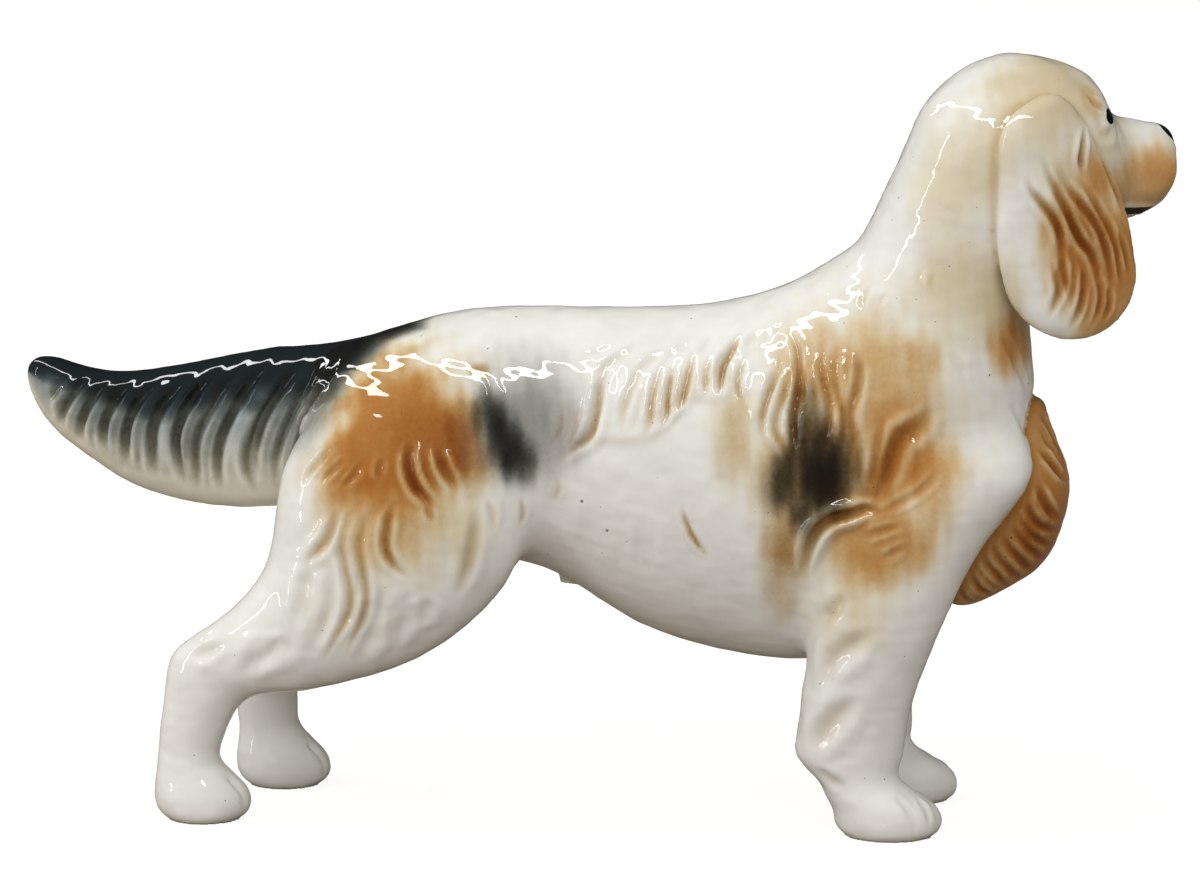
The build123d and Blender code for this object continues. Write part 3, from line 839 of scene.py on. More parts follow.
@dataclass
class Head(Casting):
    """The skull and muzzle, with brows, eyes, nose and mouth."""

    head: bool = True
    eye: tuple[float, float, float] = (125.4, 13.8, 179.2)
    brow: tuple[float, float, float] = (123.9, 11.8, 183.4)
    nose: tuple[float, float, float] = (143.6, 0.0, 173.6)
    locks: tuple[Lock, ...] = (
        Lock(0.8, 0.9, 0.0, ((126.0, 157.6), (129.0, 156.2), (132.2, 155.6), (136.1, 155.3),
                             (139.9, 155.8), (142.0, 157.0))),
        Lock(1.0, 0.5, 0.1, ((119.6, 185.0), (121.4, 182.8), (123.6, 181.6), (126.0, 181.0))),
        Lock(1.2, 0.45, 0.0, ((121.0, 175.6), (124.0, 175.2), (127.0, 176.4))),
    )
    sprays: tuple[Spray, ...] = (
        Spray(Pigment.SAND, (110.0, 186.0), (20.0, 13.0), 0.8, core=0.25),
        Spray(Pigment.SAND, (127.0, 170.0), (13.0, 15.0), 0.5, core=0.3),
        Spray(Pigment.SAND, (100.0, 178.0), (12.0, 12.0), 0.4),
        Spray(Pigment.TAN, (121.0, 183.2), (5.0, 5.5), 0.25),
        Spray(Pigment.TAN, (136.0, 163.0), (13.0, 10.5), 0.42, core=0.35),
        Spray(Pigment.TAN, (141.0, 166.0), (8.5, 11.0), 0.3),
    )

    def carve(self, skin: ClaySkin) -> None:
        """Carves both cheeks, and raises the brows, the eyes and the nose.

        Args:
            skin: The skin.
        """
        super().carve(skin)
        for side in self.sides():
            for place, reach, height in ((self.eye, 2.4, 0.5), (self.brow, 3.6, 0.6)):
                where = HEAD_TURN.turned(np.array([place]) * [[1, side.value, 1]])[0]
                skin.dent(tuple(where), reach, height)
        where = HEAD_TURN.turned(np.array([self.nose]))[0]
        skin.dent(tuple(where), 4.6, 0.9)


@dataclass
class Ear(Casting):
    """One hanging ear, with long locks that run down and forward."""

    head: bool = True
    wrap: bool = True
    locks: tuple[Lock, ...] = (
        Lock(1.0, 1.1, 0.8, ((100.5, 166.9), (101.5, 163.0), (103.8, 160.0), (106.4, 157.0),
                             (108.5, 153.5), (109.3, 149.3), (109.7, 144.6))),
        Lock(1.0, 1.2, 1.0, ((104.3, 171.8), (105.6, 166.9), (107.8, 162.9), (109.9, 158.9),
                             (112.0, 154.4), (114.7, 149.9), (117.5, 146.3), (119.1, 141.3),
                             (119.8, 135.9))),
        Lock(1.0, 1.0, 0.8, ((108.9, 171.2), (109.5, 165.8), (111.4, 162.3), (114.1, 159.3),
                             (116.8, 156.2), (119.5, 152.2), (121.2, 147.7), (122.4, 142.7),
                             (123.1, 135.7))),
        Lock(0.8, 1.0, 0.9, ((116.0, 178.1), (115.0, 173.6), (114.3, 170.0), (114.6, 166.1))),
        Lock(0.9, 0.8, 0.6, ((114.0, 166.1), (116.7, 161.1), (119.5, 156.6), (122.3, 152.0),
                             (124.0, 147.5), (124.9, 142.5), (126.5, 137.0))),
        Lock(0.8, 0.6, 0.5, ((119.4, 172.8), (121.6, 168.2), (123.4, 164.0), (125.1, 159.7),
                             (126.6, 155.6))),
        Lock(0.9, 0.9, 0.7, ((106.6, 146.2), (108.2, 141.2), (108.8, 137.7), (107.9, 134.3),
                             (106.9, 130.8))),
        Lock(0.9, 0.9, 0.8, ((109.5, 147.6), (109.9, 144.0), (110.5, 140.4), (111.1, 136.2))),
        Lock(0.9, 1.0, 0.8, ((114.6, 145.0), (115.4, 140.5), (115.0, 135.6), (113.8, 131.6),
                             (112.1, 127.8))),
        Lock(0.8, 0.8, 0.6, ((118.0, 143.4), (119.7, 137.9), (119.3, 132.9), (117.5, 128.4))),
        Lock(0.8, 0.7, 0.6, ((121.9, 139.7), (122.3, 134.2), (120.7, 129.3))),
        Lock(0.8, 0.6, 0.4, ((124.0, 152.9), (126.3, 147.4), (127.9, 141.4))),
    )
    sprays: tuple[Spray, ...] = (
        Spray(Pigment.SAND, (114.0, 158.0), (16.0, 29.0), 0.35, 8.0, 0.4),
        Spray(Pigment.TAN, (120.0, 145.0), (18.0, 31.0), 0.66, 10.0, 0.35),
        Spray(Pigment.TAN, (111.5, 153.0), (8.0, 19.0), 0.38, 16.0),
        Spray(Pigment.TAN, (128.0, 148.0), (6.0, 20.0), 0.3, -12.0),
    )

    def on(self) -> tuple[str, ...]:
        """Names the ear itself."""
        return (self.node,)

    def colour(self, skin: ClaySkin) -> None:
        """Sprays the ear alone, because it hangs clear of the cheek when it is coloured.

        Args:
            skin: The skin.
        """
        before = {pigment: skin.density[pigment].copy() for pigment in Pigment}
        super().colour(skin)
        mine = skin.owner == skin.names.index(self.node)
        for pigment in Pigment:
            skin.density[pigment] = np.where(mine, skin.density[pigment], before[pigment])


@dataclass
class Tail(Casting):
    """The plume of the tail, near black along its top and cream below."""

    wash: float = 0.58
    in_grooves: float = 0.30
    off_crests: float = 0.14
    bare_edge: float = 0.14
    solid_levels: tuple[float, float] = (0.48, 0.88)
    sand: float = 0.30
    sand_levels: tuple[float, float] = (0.2, 0.6)
    rump: Path = ((-70.2, 91.4), (-66.3, 98.4), (-62.4, 105.7), (-59.5, 114.4), (-53.0, 121.5),
                  (-44.3, 124.7))
    top_edge: Path = ((-145.3, 112.4), (-138.8, 115.1), (-130.0, 112.6), (-120.0, 111.6),
                      (-107.0, 113.2), (-93.0, 116.1), (-77.0, 119.0), (-62.0, 121.2), (-44.0, 124.5))
    low_edge: Path = ((-145.5, 110.0), (-140.4, 98.4), (-132.2, 91.2), (-121.7, 84.0), (-108.9, 79.1),
                      (-95.8, 77.0), (-79.0, 77.6), (-64.0, 80.0), (-44.0, 88.0))
    locks: tuple[Lock, ...] = (
        Lock(1.2, 0.7, 0.25, ((-134.3, 109.4), (-136.6, 107.1), (-138.6, 104.1))),
        Lock(1.3, 0.9, 0.25, ((-128.8, 110.1), (-132.1, 106.2), (-134.9, 102.0), (-136.4, 97.0))),
        Lock(1.4, 1.1, 0.25, ((-122.6, 109.7), (-126.1, 106.3), (-129.0, 102.2), (-130.8, 97.4),
                              (-131.1, 92.6))),
        Lock(1.5, 1.2, 0.25, ((-116.7, 108.9), (-120.6, 105.7), (-123.4, 101.3), (-124.6, 96.6),
                              (-124.1, 90.2))),
        Lock(1.5, 1.3, 0.25, ((-110.4, 108.8), (-114.4, 105.6), (-117.1, 101.5), (-118.8, 95.8),
                              (-119.3, 87.0))),
        Lock(1.5, 1.3, 0.25, ((-103.7, 109.7), (-107.6, 105.7), (-110.4, 101.7), (-112.0, 96.0),
                              (-111.8, 84.0))),
        Lock(1.4, 1.2, 0.25, ((-94.1, 113.8), (-99.8, 107.4), (-103.9, 100.8), (-105.5, 95.1),
                              (-104.8, 88.2), (-103.7, 81.6))),
        Lock(1.4, 1.2, 0.25, ((-87.9, 114.9), (-94.1, 107.1), (-98.7, 99.4), (-100.6, 93.6),
                              (-100.7, 87.3), (-100.7, 79.6))),
        Lock(1.4, 1.2, 0.25, ((-81.7, 116.0), (-87.9, 107.7), (-92.5, 99.5), (-94.7, 93.8),
                              (-95.2, 87.4), (-94.4, 79.6))),
        Lock(1.3, 1.1, 0.25, ((-77.2, 112.9), (-83.2, 102.8), (-86.4, 95.5), (-87.6, 89.7),
                              (-86.8, 84.9), (-84.6, 79.6))),
        Lock(1.3, 1.1, 0.25, ((-72.8, 116.3), (-77.6, 108.9), (-82.2, 100.8), (-84.9, 92.4),
                              (-84.8, 84.9))),
        Lock(1.3, 1.1, 0.25, ((-67.7, 117.4), (-72.4, 109.1), (-77.0, 99.3), (-80.1, 90.4),
                              (-80.2, 82.0))),
        Lock(1.3, 1.0, 0.25, ((-61.9, 118.8), (-67.3, 109.1), (-71.9, 99.9), (-75.0, 90.8),
                              (-75.6, 83.8))),
    )

    def on(self) -> tuple[str, ...]:
        """Names the tail itself and the rump that it grows from."""
        return (self.node, "trunk")

    def colour(self, skin: ClaySkin) -> None:
        """Sprays the plume from above, so that its colour thins out downwards.

        Args:
            skin: The skin.
        """
        own = skin.owner == skin.names.index(self.node)
        rump, top, low = (np.array(edge) for edge in (self.rump, self.top_edge, self.low_edge))
        x, z = skin.places[:, 0], skin.places[:, 2]
        ahead = x - np.interp(z, rump[:, 1], rump[:, 0])
        mine = np.flatnonzero((ahead < 5.0) & (z > rump[0, 1] - 20.0) | own)
        x, z, ahead, groove = x[mine], z[mine], ahead[mine], skin.carved[mine]
        leg = np.isin(skin.owner[mine], [skin.names.index(n) for n in ("hind_right_leg", "hind_left_leg")])
        rear = 0.8 * (1.0 - ramp(-5.0, 3.0, ahead)) * ramp(88.0, 102.0, z)
        shown = np.where(leg, rear, 1.0 - ramp(-5.0, 5.0, ahead))
        top, low = np.interp(x, top[:, 0], top[:, 1]), np.interp(x, low[:, 0], low[:, 1])
        level = (z - low) / np.maximum(top - low, 4.0) + 0.03 * ripple(skin.places[mine], 8.0, 21)
        thick = level + self.in_grooves * groove - self.off_crests * skin.crests()[mine] - self.bare_edge
        black = np.maximum(self.wash * np.clip(thick, 0.0, 1.0), ramp(*self.solid_levels, level))
        sand = self.sand * own[mine] * (1.0 - ramp(*self.sand_levels, level))
        self._fill(skin, Pigment.BLACK, mine, shown * black)
        self._fill(skin, Pigment.SAND, mine, shown * sand)

    def _fill(self, skin: ClaySkin, pigment: Pigment, mine: np.ndarray, amount: np.ndarray) -> None:
        """Adds a density of one pigment to the plume's own points."""
        pot = skin.density[pigment]
        pot[mine] = 1.0 - (1.0 - pot[mine]) * (1.0 - np.clip(amount, 0.0, 1.0))


@dataclass
class ChestFeather(Casting):
    """The ruff of hair on the breast, fluted all the way down."""

    locks: tuple[Lock, ...] = (
        Lock(1.0, 0.6, 0.5, ((112.8, 105.6), (115.4, 100.3), (117.4, 96.2))),
        Lock(1.1, 0.9, 0.6, ((112.8, 97.4), (115.6, 93.8), (118.6, 89.8), (120.5, 88.6))),
        Lock(1.1, 1.0, 0.7, ((112.4, 89.4), (114.2, 84.3), (116.5, 80.5), (118.5, 78.7), (120.0, 78.2))),
        Lock(1.0, 0.9, 0.7, ((109.8, 85.0), (111.1, 81.2), (113.3, 78.4), (116.5, 76.4), (119.0, 75.4))),
        Lock(1.0, 0.9, 0.7, ((108.1, 82.0), (109.9, 78.1), (112.4, 75.0), (115.8, 71.9), (117.5, 71.0))),
        Lock(1.0, 0.9, 0.7, ((106.2, 79.4), (107.7, 76.4), (110.2, 73.0), (113.4, 69.3), (115.0, 68.2))),
        Lock(1.0, 0.9, 0.7, ((103.7, 76.8), (105.3, 73.5), (107.8, 70.1), (110.7, 66.5), (112.5, 65.0))),
        Lock(1.0, 0.9, 0.6, ((101.3, 74.1), (102.8, 70.5), (105.3, 67.2), (108.2, 63.7), (109.6, 62.6))),
        Lock(1.0, 0.9, 0.6, ((98.6, 72.1), (100.1, 68.5), (102.6, 65.3), (105.3, 61.4), (106.4, 60.4))),
        Lock(1.0, 0.8, 0.5, ((95.5, 67.2), (97.6, 62.8), (100.6, 59.5), (102.5, 58.2))),
        Lock(0.9, 0.6, 0.5, ((92.5, 63.4), (94.4, 59.4), (97.0, 57.0))),
    )

    def on(self) -> tuple[str, ...]:
        """Names the ruff itself."""
        return (self.node,)

    def colour(self, skin: ClaySkin) -> None:
        """Sprays the whole ruff, deeper towards its lower front edge.

        Args:
            skin: The skin.
        """
        mine = skin.owner == skin.names.index(self.node)
        x, z = skin.places[:, 0], skin.places[:, 2]
        deep = np.exp(-(((x - 115.0) / 10.0) ** 2) - (((z - 74.0) / 14.0) ** 2))
        coats = ((Pigment.TAN, 0.55 + 0.28 * deep), (Pigment.UMBER, 0.05 * deep), (Pigment.SAND, 0.4))
        for pigment, amount in coats:
            pot = skin.density[pigment]
            skin.density[pigment] = np.where(mine, 1.0 - (1.0 - pot) * (1.0 - amount), pot)


@dataclass
class Leg(Casting):
    """One leg, whose foot may stand ahead of where it is drawn."""

    step: float = 0.0
    step_from: float = 1.0

    def drift(self, height: float) -> float:
        """Gives how far forward the leg stands from where it is drawn, at a height."""
        return self.step * min(max((self.step_from - height) / self.step_from * 1.4, 0.0), 1.0)


@dataclass
class ForeLeg(Leg):
    """One front leg, with three soft hollows along its rear fringe."""

    step_from: float = 26.5
    locks: tuple[Lock, ...] = (
        Lock(1.8, 0.5, 0.1, ((66.7, 62.6), (63.2, 59.3), (59.9, 54.7))),
        Lock(2.3, 0.9, 0.08, ((73.5, 54.4), (66.8, 49.8), (62.2, 45.3), (59.7, 38.3))),
        Lock(2.5, 1.0, 0.1, ((70.0, 37.2), (64.3, 32.1), (60.3, 26.6), (57.8, 20.0))),
        Lock(1.4, 0.4, 0.05, ((58.8, 18.4), (62.3, 15.5), (66.4, 13.6))),
        Lock(0.9, 0.5, 0.0, ((78.2, 11.5), (81.5, 9.0), (83.5, 5.6), (84.0, 2.0))),
        Lock(0.9, 0.5, 0.0, ((83.4, 11.0), (86.2, 7.6), (87.4, 3.0))),
    )
    sprays: tuple[Spray, ...] = (Spray(Pigment.SAND, (66.0, 56.0), (14.0, 12.0), 0.5),)


@dataclass
class HindLeg(Leg):
    """One hind leg, with the wavy locks of the thigh."""

    step_from: float = 57.6
    locks: tuple[Lock, ...] = (
        Lock(1.2, 1.0, 0.9, ((-42.4, 99.9), (-42.8, 94.2), (-41.2, 88.9), (-38.1, 85.0), (-35.6, 82.1))),
        Lock(1.1, 0.7, 0.5, ((-36.1, 98.0), (-34.2, 93.2), (-31.8, 88.9), (-30.3, 86.4))),
        Lock(0.8, 0.5, 0.4, ((-38.6, 83.8), (-37.1, 81.3), (-36.1, 79.3))),
        Lock(1.1, 0.9, 0.75, ((-45.6, 85.4), (-47.5, 79.5), (-48.2, 73.8), (-47.0, 70.0), (-44.3, 67.0),
                              (-41.6, 65.5))),
        Lock(1.2, 0.9, 0.5, ((-51.1, 83.4), (-53.8, 78.3), (-55.1, 72.3), (-54.1, 66.8), (-53.1, 60.7),
                             (-54.3, 55.0), (-57.0, 49.2), (-59.3, 43.7))),
        Lock(1.2, 0.9, 0.5, ((-55.7, 83.5), (-58.4, 78.2), (-59.4, 72.6), (-58.4, 67.7), (-57.2, 61.6),
                             (-57.8, 56.0), (-61.5, 49.1), (-64.9, 43.1))),
        Lock(1.3, 0.7, 0.4, ((-60.3, 83.0), (-61.3, 78.5), (-63.6, 73.9), (-67.1, 70.1), (-69.5, 66.9))),
        Lock(0.9, 0.4, 0.3, ((-49.2, 95.7), (-50.1, 92.1), (-49.7, 89.3))),
        Lock(0.9, 0.5, 0.3, ((-62.5, 97.3), (-64.9, 94.3), (-68.0, 90.7), (-69.5, 87.7))),
        Lock(0.9, 0.5, 0.3, ((-58.6, 94.7), (-62.1, 91.6), (-65.7, 88.0))),
        Lock(0.9, 0.4, 0.3, ((-54.5, 93.9), (-57.4, 89.9), (-59.9, 87.9))),
        Lock(0.9, 0.4, 0.1, ((-23.6, 85.2), (-22.1, 81.2), (-21.6, 77.1))),
        Lock(0.8, 0.4, 0.4, ((-15.4, 84.8), (-14.9, 81.0), (-15.8, 77.0))),
        Lock(1.6, 0.6, 0.2, ((-25.9, 83.6), (-26.4, 74.8), (-28.5, 65.9), (-31.4, 59.4))),
        Lock(2.1, 0.8, 0.05, ((-67.0, 68.6), (-68.6, 62.8), (-69.1, 57.0), (-70.4, 50.9))),
        Lock(1.9, 0.9, 0.05, ((-63.3, 67.9), (-62.8, 62.4), (-63.4, 56.3), (-66.1, 49.0),
                              (-67.8, 44.2))),
        Lock(2.2, 1.0, 0.0, ((-48.6, 63.9), (-49.2, 58.7), (-51.3, 53.5), (-53.6, 47.0), (-55.0, 42.4))),
        Lock(2.2, 0.9, 0.0, ((-42.7, 62.4), (-43.8, 56.6), (-46.0, 51.3), (-48.4, 45.7))),
        Lock(2.0, 0.7, 0.0, ((-37.8, 60.7), (-38.9, 56.5), (-41.1, 52.2))),
        Lock(2.2, 0.8, 0.0, ((-76.9, 50.5), (-79.5, 45.8), (-82.7, 42.1), (-85.9, 39.3))),
        Lock(2.0, 0.7, 0.0, ((-72.7, 49.7), (-75.4, 45.5), (-78.6, 41.2))),
        Lock(1.5, 0.55, 0.05, ((-99.6, 43.0), (-94.6, 44.4), (-89.6, 46.9))),
    )
    sprays: tuple[Spray, ...] = (
        Spray(Pigment.SAND, (-45.0, 94.0), (32.0, 38.0), 0.55, core=0.4),
        Spray(Pigment.SAND, (-29.0, 75.0), (5.0, 15.0), 0.6, -8.0),
        Spray(Pigment.TAN, (-45.0, 99.5), (22.0, 23.0), 0.68, core=0.45),
        Spray(Pigment.TAN, (-48.0, 81.0), (18.0, 17.0), 0.32, core=0.2),
        Spray(Pigment.TAN, (-58.5, 90.0), (11.0, 13.0), 0.4),
        Spray(Pigment.UMBER, (-41.0, 97.0), (13.0, 15.0), 0.12),
        Spray(Pigment.UMBER, (-29.0, 97.0), (9.0, 16.0), 0.25, 15.0),
        Spray(Pigment.UMBER, (-25.9, 116.0), (3.6, 2.6), 0.25),
        Spray(Pigment.SMOKE, (-14.0, 103.0), (18.0, 24.0), 0.75, 20.0, 0.15),
        Spray(Pigment.SMOKE, (-8.0, 109.0), (13.0, 15.0), 0.45),
        Spray(Pigment.BLACK, (-20.0, 100.5), (8.0, 20.0), 0.68, 22.0),
        Spray(Pigment.BLACK, (-16.0, 93.0), (9.0, 12.0), 0.3),
    )


def socket(tree: bpy.types.NodeTree, name: str, kind: str, way: str, value: object = None) -> None:
    """Adds one socket to a node group.

    Args:
        tree: The group.
        name: The socket's name.
        kind: Float, Vector or Color.
        way: INPUT or OUTPUT.
        value: Its default, or None.
    """
    made = tree.interface.new_socket(name=name, in_out=way, socket_type="NodeSocket" + kind)
    if value is not None:
        made.default_value = value


class Desk:
    """A bench for laying out shader nodes in a tree."""

    def __init__(self, tree: bpy.types.NodeTree) -> None:
        """Starts on a tree."""
        self.tree = tree

    def add(self, kind: str, **values: object) -> bpy.types.Node:
        """Adds a node and sets its properties.

        Args:
            kind: The node's type.
            **values: Properties by name.

        Returns:
            The node.
        """
        node = self.tree.nodes.new(kind)
        for name, value in values.items():
            setattr(node, name, value)
        return node

    def join(self, start: object, end: object) -> None:
        """Feeds an input.

        Args:
            start: The output that is linked to it, or the value that it is set to.
            end: The input.
        """
        if isinstance(start, bpy.types.NodeSocket):
            self.tree.links.new(start, end)
        else:
            end.default_value = start

    def math(self, kind: str, *values: object, clamp: bool = False) -> bpy.types.NodeSocket:
        """Adds a sum of numbers.

        Args:
            kind: The operation.
            *values: Outputs or numbers.
            clamp: Whether the result is kept from 0 to 1.

        Returns:
            The result.
        """
        node = self.add("ShaderNodeMath", operation=kind, use_clamp=clamp)
        for order, value in enumerate(values):
            self.join(value, node.inputs[order])
        return node.outputs[0]

    def vector(self, kind: str, *values: object) -> bpy.types.Node:
        """Adds a sum of vectors.

        Args:
            kind: The operation.
            *values: Outputs or vectors.

        Returns:
            The node.
        """
        node = self.add("ShaderNodeVectorMath", operation=kind)
        for order, value in enumerate(values):
            self.join(value, node.inputs[order])
        return node

    def mix(self, amount: object, first: object, second: object, blend: str = "MIX") -> bpy.types.NodeSocket:
        """Mixes two colours.

        Args:
            amount: How much of the second.
            first: The first colour.
            second: The second colour.
            blend: How they mix.

        Returns:
            The mixed colour.
        """
        node = self.add("ShaderNodeMix", data_type="RGBA", blend_type=blend)
        for value, place in ((amount, 0), (first, 6), (second, 7)):
            if isinstance(value, tuple) and len(value) == 3:
                value = (*value, 1.0)
            self.join(value, node.inputs[place])
        return node.outputs[2]

    def mix_value(self, amount: object, first: object, second: object) -> bpy.types.NodeSocket:
        """Mixes two numbers.

        Args:
            amount: How much of the second.
            first: The first number.
            second: The second number.

        Returns:
            The mixed number.
        """
        node = self.add("ShaderNodeMix", data_type="FLOAT")
        for order, value in enumerate((amount, first, second)):
            self.join(value, node.inputs[(0, 2, 3)[order]])
        return node.outputs[0]

    def spread(self, value: object, low: object, high: object, to_low: float = 0.0, to_high: float = 1.0,
               smooth: bool = False) -> bpy.types.NodeSocket:
        """Maps a range to another and holds it there.

        Args:
            value: The value.
            low: Start of its range.
            high: End of its range.
            to_low: Result at the start.
            to_high: Result at the end.
            smooth: Whether the rise is smooth.

        Returns:
            The result.
        """
        node = self.add("ShaderNodeMapRange", interpolation_type="SMOOTHSTEP" if smooth else "LINEAR")
        for order, part in enumerate((value, low, high, to_low, to_high)):
            self.join(part, node.inputs[order])
        return node.outputs[0]

    def noise(self, place: object, scale: object, detail: float) -> bpy.types.NodeSocket:
        """Adds a cloudy pattern.

        Args:
            place: Where it is looked up.
            scale: How fine it is.
            detail: How many finer patterns are added to it.

        Returns:
            The pattern's value.
        """
        node = self.add("ShaderNodeTexNoise")
        self.join(place, node.inputs["Vector"])
        self.join(scale, node.inputs["Scale"])
        self.join(detail, node.inputs["Detail"])
        return node.outputs[0]

    def group(self, tree: bpy.types.NodeTree, **values: object) -> bpy.types.Node:
        """Adds a node group and sets its inputs.

        Args:
            tree: The group.
            **values: Inputs by name.

        Returns:
            The node.
        """
        node = self.add("ShaderNodeGroup", node_tree=tree)
        for name, value in values.items():
            node.inputs[name].default_value = value
        return node

    def kept(self, name: str) -> bpy.types.NodeSocket:
        """Reads a value that is kept on the surface's points."""
        return self.add("ShaderNodeAttribute", attribute_name=name).outputs["Fac"]


GroupParts = tuple[bpy.types.NodeTree, Desk, bpy.types.Node, bpy.types.Node]


def new_group(name: str, sockets: tuple[tuple, ...]) -> GroupParts:
    """Starts a shader node group.

    Args:
        name: The group's name.
        sockets: Name, kind, way and default of each socket.

    Returns:
        The group, a desk for it, and its input and output nodes.
    """
    tree = bpy.data.node_groups.new(name, "ShaderNodeTree")
    for entry in sockets:
        socket(tree, *entry)
    desk = Desk(tree)
    return tree, desk, desk.add("NodeGroupInput"), desk.add("NodeGroupOutput")


POOLED = (0.62, 0.52, 0.40)


def sprayed_coat() -> bpy.types.NodeTree:
    """Builds the group that lays the sprayed colours over one another, with the painted shade of the creases,
    and lets the glaze pool in the grooves.

    Returns:
        The group.
    """
    colours = ("Ground", "Sand", "Tan", "Umber", "Smoke", "Black")
    tree, desk, given, out = new_group("sprayed_coat", (
        *((name, "Color", "INPUT") for name in colours),
        ("Pooling", "Float", "INPUT", 0.5),
        ("Color", "Color", "OUTPUT"),
    ))
    place = desk.add("ShaderNodeTexCoord").outputs["Object"]
    mist, mottle = desk.noise(place, 900.0, 3.0), desk.noise(place, 140.0, 4.0)
    grain = desk.math("ADD", desk.spread(mist, 0.25, 0.75, -0.08, 0.08),
                      desk.spread(mottle, 0.3, 0.7, -0.10, 0.10))

    def soft(amount: object) -> bpy.types.NodeSocket:
        """Breaks up a density where it is half thick.

        Args:
            amount: The density.

        Returns:
            The broken density.
        """
        edge = desk.math("MULTIPLY", amount, desk.math("SUBTRACT", 1.0, amount))
        broken = desk.math("MULTIPLY", desk.math("MULTIPLY", edge, 2.0), grain)
        return desk.math("ADD", amount, broken, clamp=True)

    def film(under: object, name: str, amount: object) -> bpy.types.NodeSocket:
        """Lays one see-through pigment over a colour, as thick as its density.

        Args:
            under: The colour.
            name: The pigment.
            amount: Its density.

        Returns:
            The covered colour.
        """
        layer = desk.add("ShaderNodeGamma")
        desk.join(given.outputs[name], layer.inputs["Color"])
        desk.join(soft(amount), layer.inputs["Gamma"])
        return desk.mix(1.0, under, layer.outputs[0], "MULTIPLY")

    colour = given.outputs["Ground"]
    # the umber film also carries the stains in the grooves and the painted shade of the creases and the
    # hair's edges
    stain_and_shade = desk.math("ADD", desk.kept("umber"), desk.kept("stain_and_shade"))
    for name, amount in (("Sand", desk.kept("sand")), ("Tan", desk.kept("tan")), ("Umber", stain_and_shade)):
        colour = film(colour, name, amount)
    colour = desk.mix(soft(desk.kept("smoke")), colour, given.outputs["Smoke"])
    colour = film(colour, "Black", desk.kept("black"))
    pool = desk.math("MULTIPLY", desk.kept("carved"), given.outputs["Pooling"])
    colour = desk.mix(pool, colour, desk.mix(1.0, colour, POOLED, "MULTIPLY"))
    tone = desk.spread(mottle, 0.3, 0.7, 0.95, 1.04)
    spread = desk.add("ShaderNodeCombineColor")
    for order in range(3):
        desk.join(tone, spread.inputs[order])
    desk.join(desk.mix(1.0, colour, spread.outputs[0], "MULTIPLY"), out.inputs["Color"])
    return tree


def glaze_specks() -> bpy.types.NodeTree:
    """Builds the group that scatters iron specks and pinholes in a glaze.

    Returns:
        The group.
    """
    tree, desk, given, out = new_group("glaze_specks", (
        ("Spacing", "Float", "INPUT", 150.0), ("Share", "Float", "INPUT", 0.2),
        ("Size", "Float", "INPUT", 0.06), ("Mask", "Float", "OUTPUT"),
    ))
    place = desk.add("ShaderNodeTexCoord").outputs["Object"]
    cells = desk.add("ShaderNodeTexVoronoi")
    desk.join(place, cells.inputs["Vector"])
    desk.join(given.outputs["Spacing"], cells.inputs["Scale"])
    lot = desk.add("ShaderNodeSeparateColor")
    desk.join(cells.outputs["Color"], lot.inputs[0])
    chosen = desk.math("LESS_THAN", lot.outputs[0], given.outputs["Share"])
    size = desk.math("MULTIPLY", given.outputs["Size"], desk.math("ADD", 0.4, lot.outputs[1]))
    dot = desk.math("LESS_THAN", cells.outputs["Distance"], size)
    desk.join(desk.math("MULTIPLY", chosen, dot), out.inputs["Mask"])
    return tree


def glaze_ripple() -> bpy.types.NodeTree:
    """Builds the group that gives a glaze its slight flow marks.

    Returns:
        The group.
    """
    tree, desk, given, out = new_group("glaze_ripple", (
        ("Scale", "Float", "INPUT", 220.0), ("Height", "Float", "OUTPUT"), ("Sheen", "Float", "OUTPUT"),
    ))
    place = desk.add("ShaderNodeTexCoord").outputs["Object"]
    noise = desk.noise(place, given.outputs["Scale"], 2.0)
    desk.join(noise, out.inputs["Height"])
    desk.join(desk.spread(noise, 0.3, 0.7, 0.30, 0.44), out.inputs["Sheen"])
    return tree


def painted_mark() -> bpy.types.NodeTree:
    """Builds the group that paints one oval brush mark on both sides of the head.

    Returns:
        The group.
    """
    tree, desk, given, out = new_group("painted_mark", (
        ("Centre", "Vector", "INPUT", (0.0, 0.0, 0.0)), ("Reach", "Vector", "INPUT", (1.0, 1.0, 1.0)),
        ("Edge", "Float", "INPUT", 0.12), ("Mask", "Float", "OUTPUT"),
    ))
    place = desk.add("ShaderNodeTexCoord").outputs["Object"]
    turn = desk.add("ShaderNodeVectorRotate", rotation_type="Z_AXIS")
    in_mm = desk.vector("SCALE", place)
    in_mm.inputs["Scale"].default_value = 1.0 / MM
    desk.join(in_mm.outputs[0], turn.inputs["Vector"])
    turn.inputs["Center"].default_value = (HEAD_TURN.pivot, 0.0, 0.0)
    turn.inputs["Angle"].default_value = math.radians(-HEAD_TURN.degrees)
    parts = desk.add("ShaderNodeSeparateXYZ")
    desk.join(turn.outputs[0], parts.inputs[0])
    folded = desk.add("ShaderNodeCombineXYZ")
    desk.join(parts.outputs[0], folded.inputs[0])
    desk.join(desk.math("ABSOLUTE", parts.outputs[1]), folded.inputs[1])
    desk.join(parts.outputs[2], folded.inputs[2])
    away = desk.vector("SUBTRACT", folded.outputs[0], given.outputs["Centre"]).outputs[0]
    share = desk.vector("DIVIDE", away, given.outputs["Reach"]).outputs[0]
    far = desk.vector("LENGTH", share).outputs["Value"]
    inner = desk.math("SUBTRACT", 1.0, given.outputs["Edge"])
    desk.join(desk.spread(far, inner, 1.0, 1.0, 0.0, smooth=True), out.inputs["Mask"])
    return tree


@dataclass(frozen=True)
class BrushMark:
    """One painted mark on the head, drawn with the head straight, in millimetres."""

    colour: Colour
    centre: tuple[float, float, float]
    reach: tuple[float, float, float]
    edge: float = 0.12


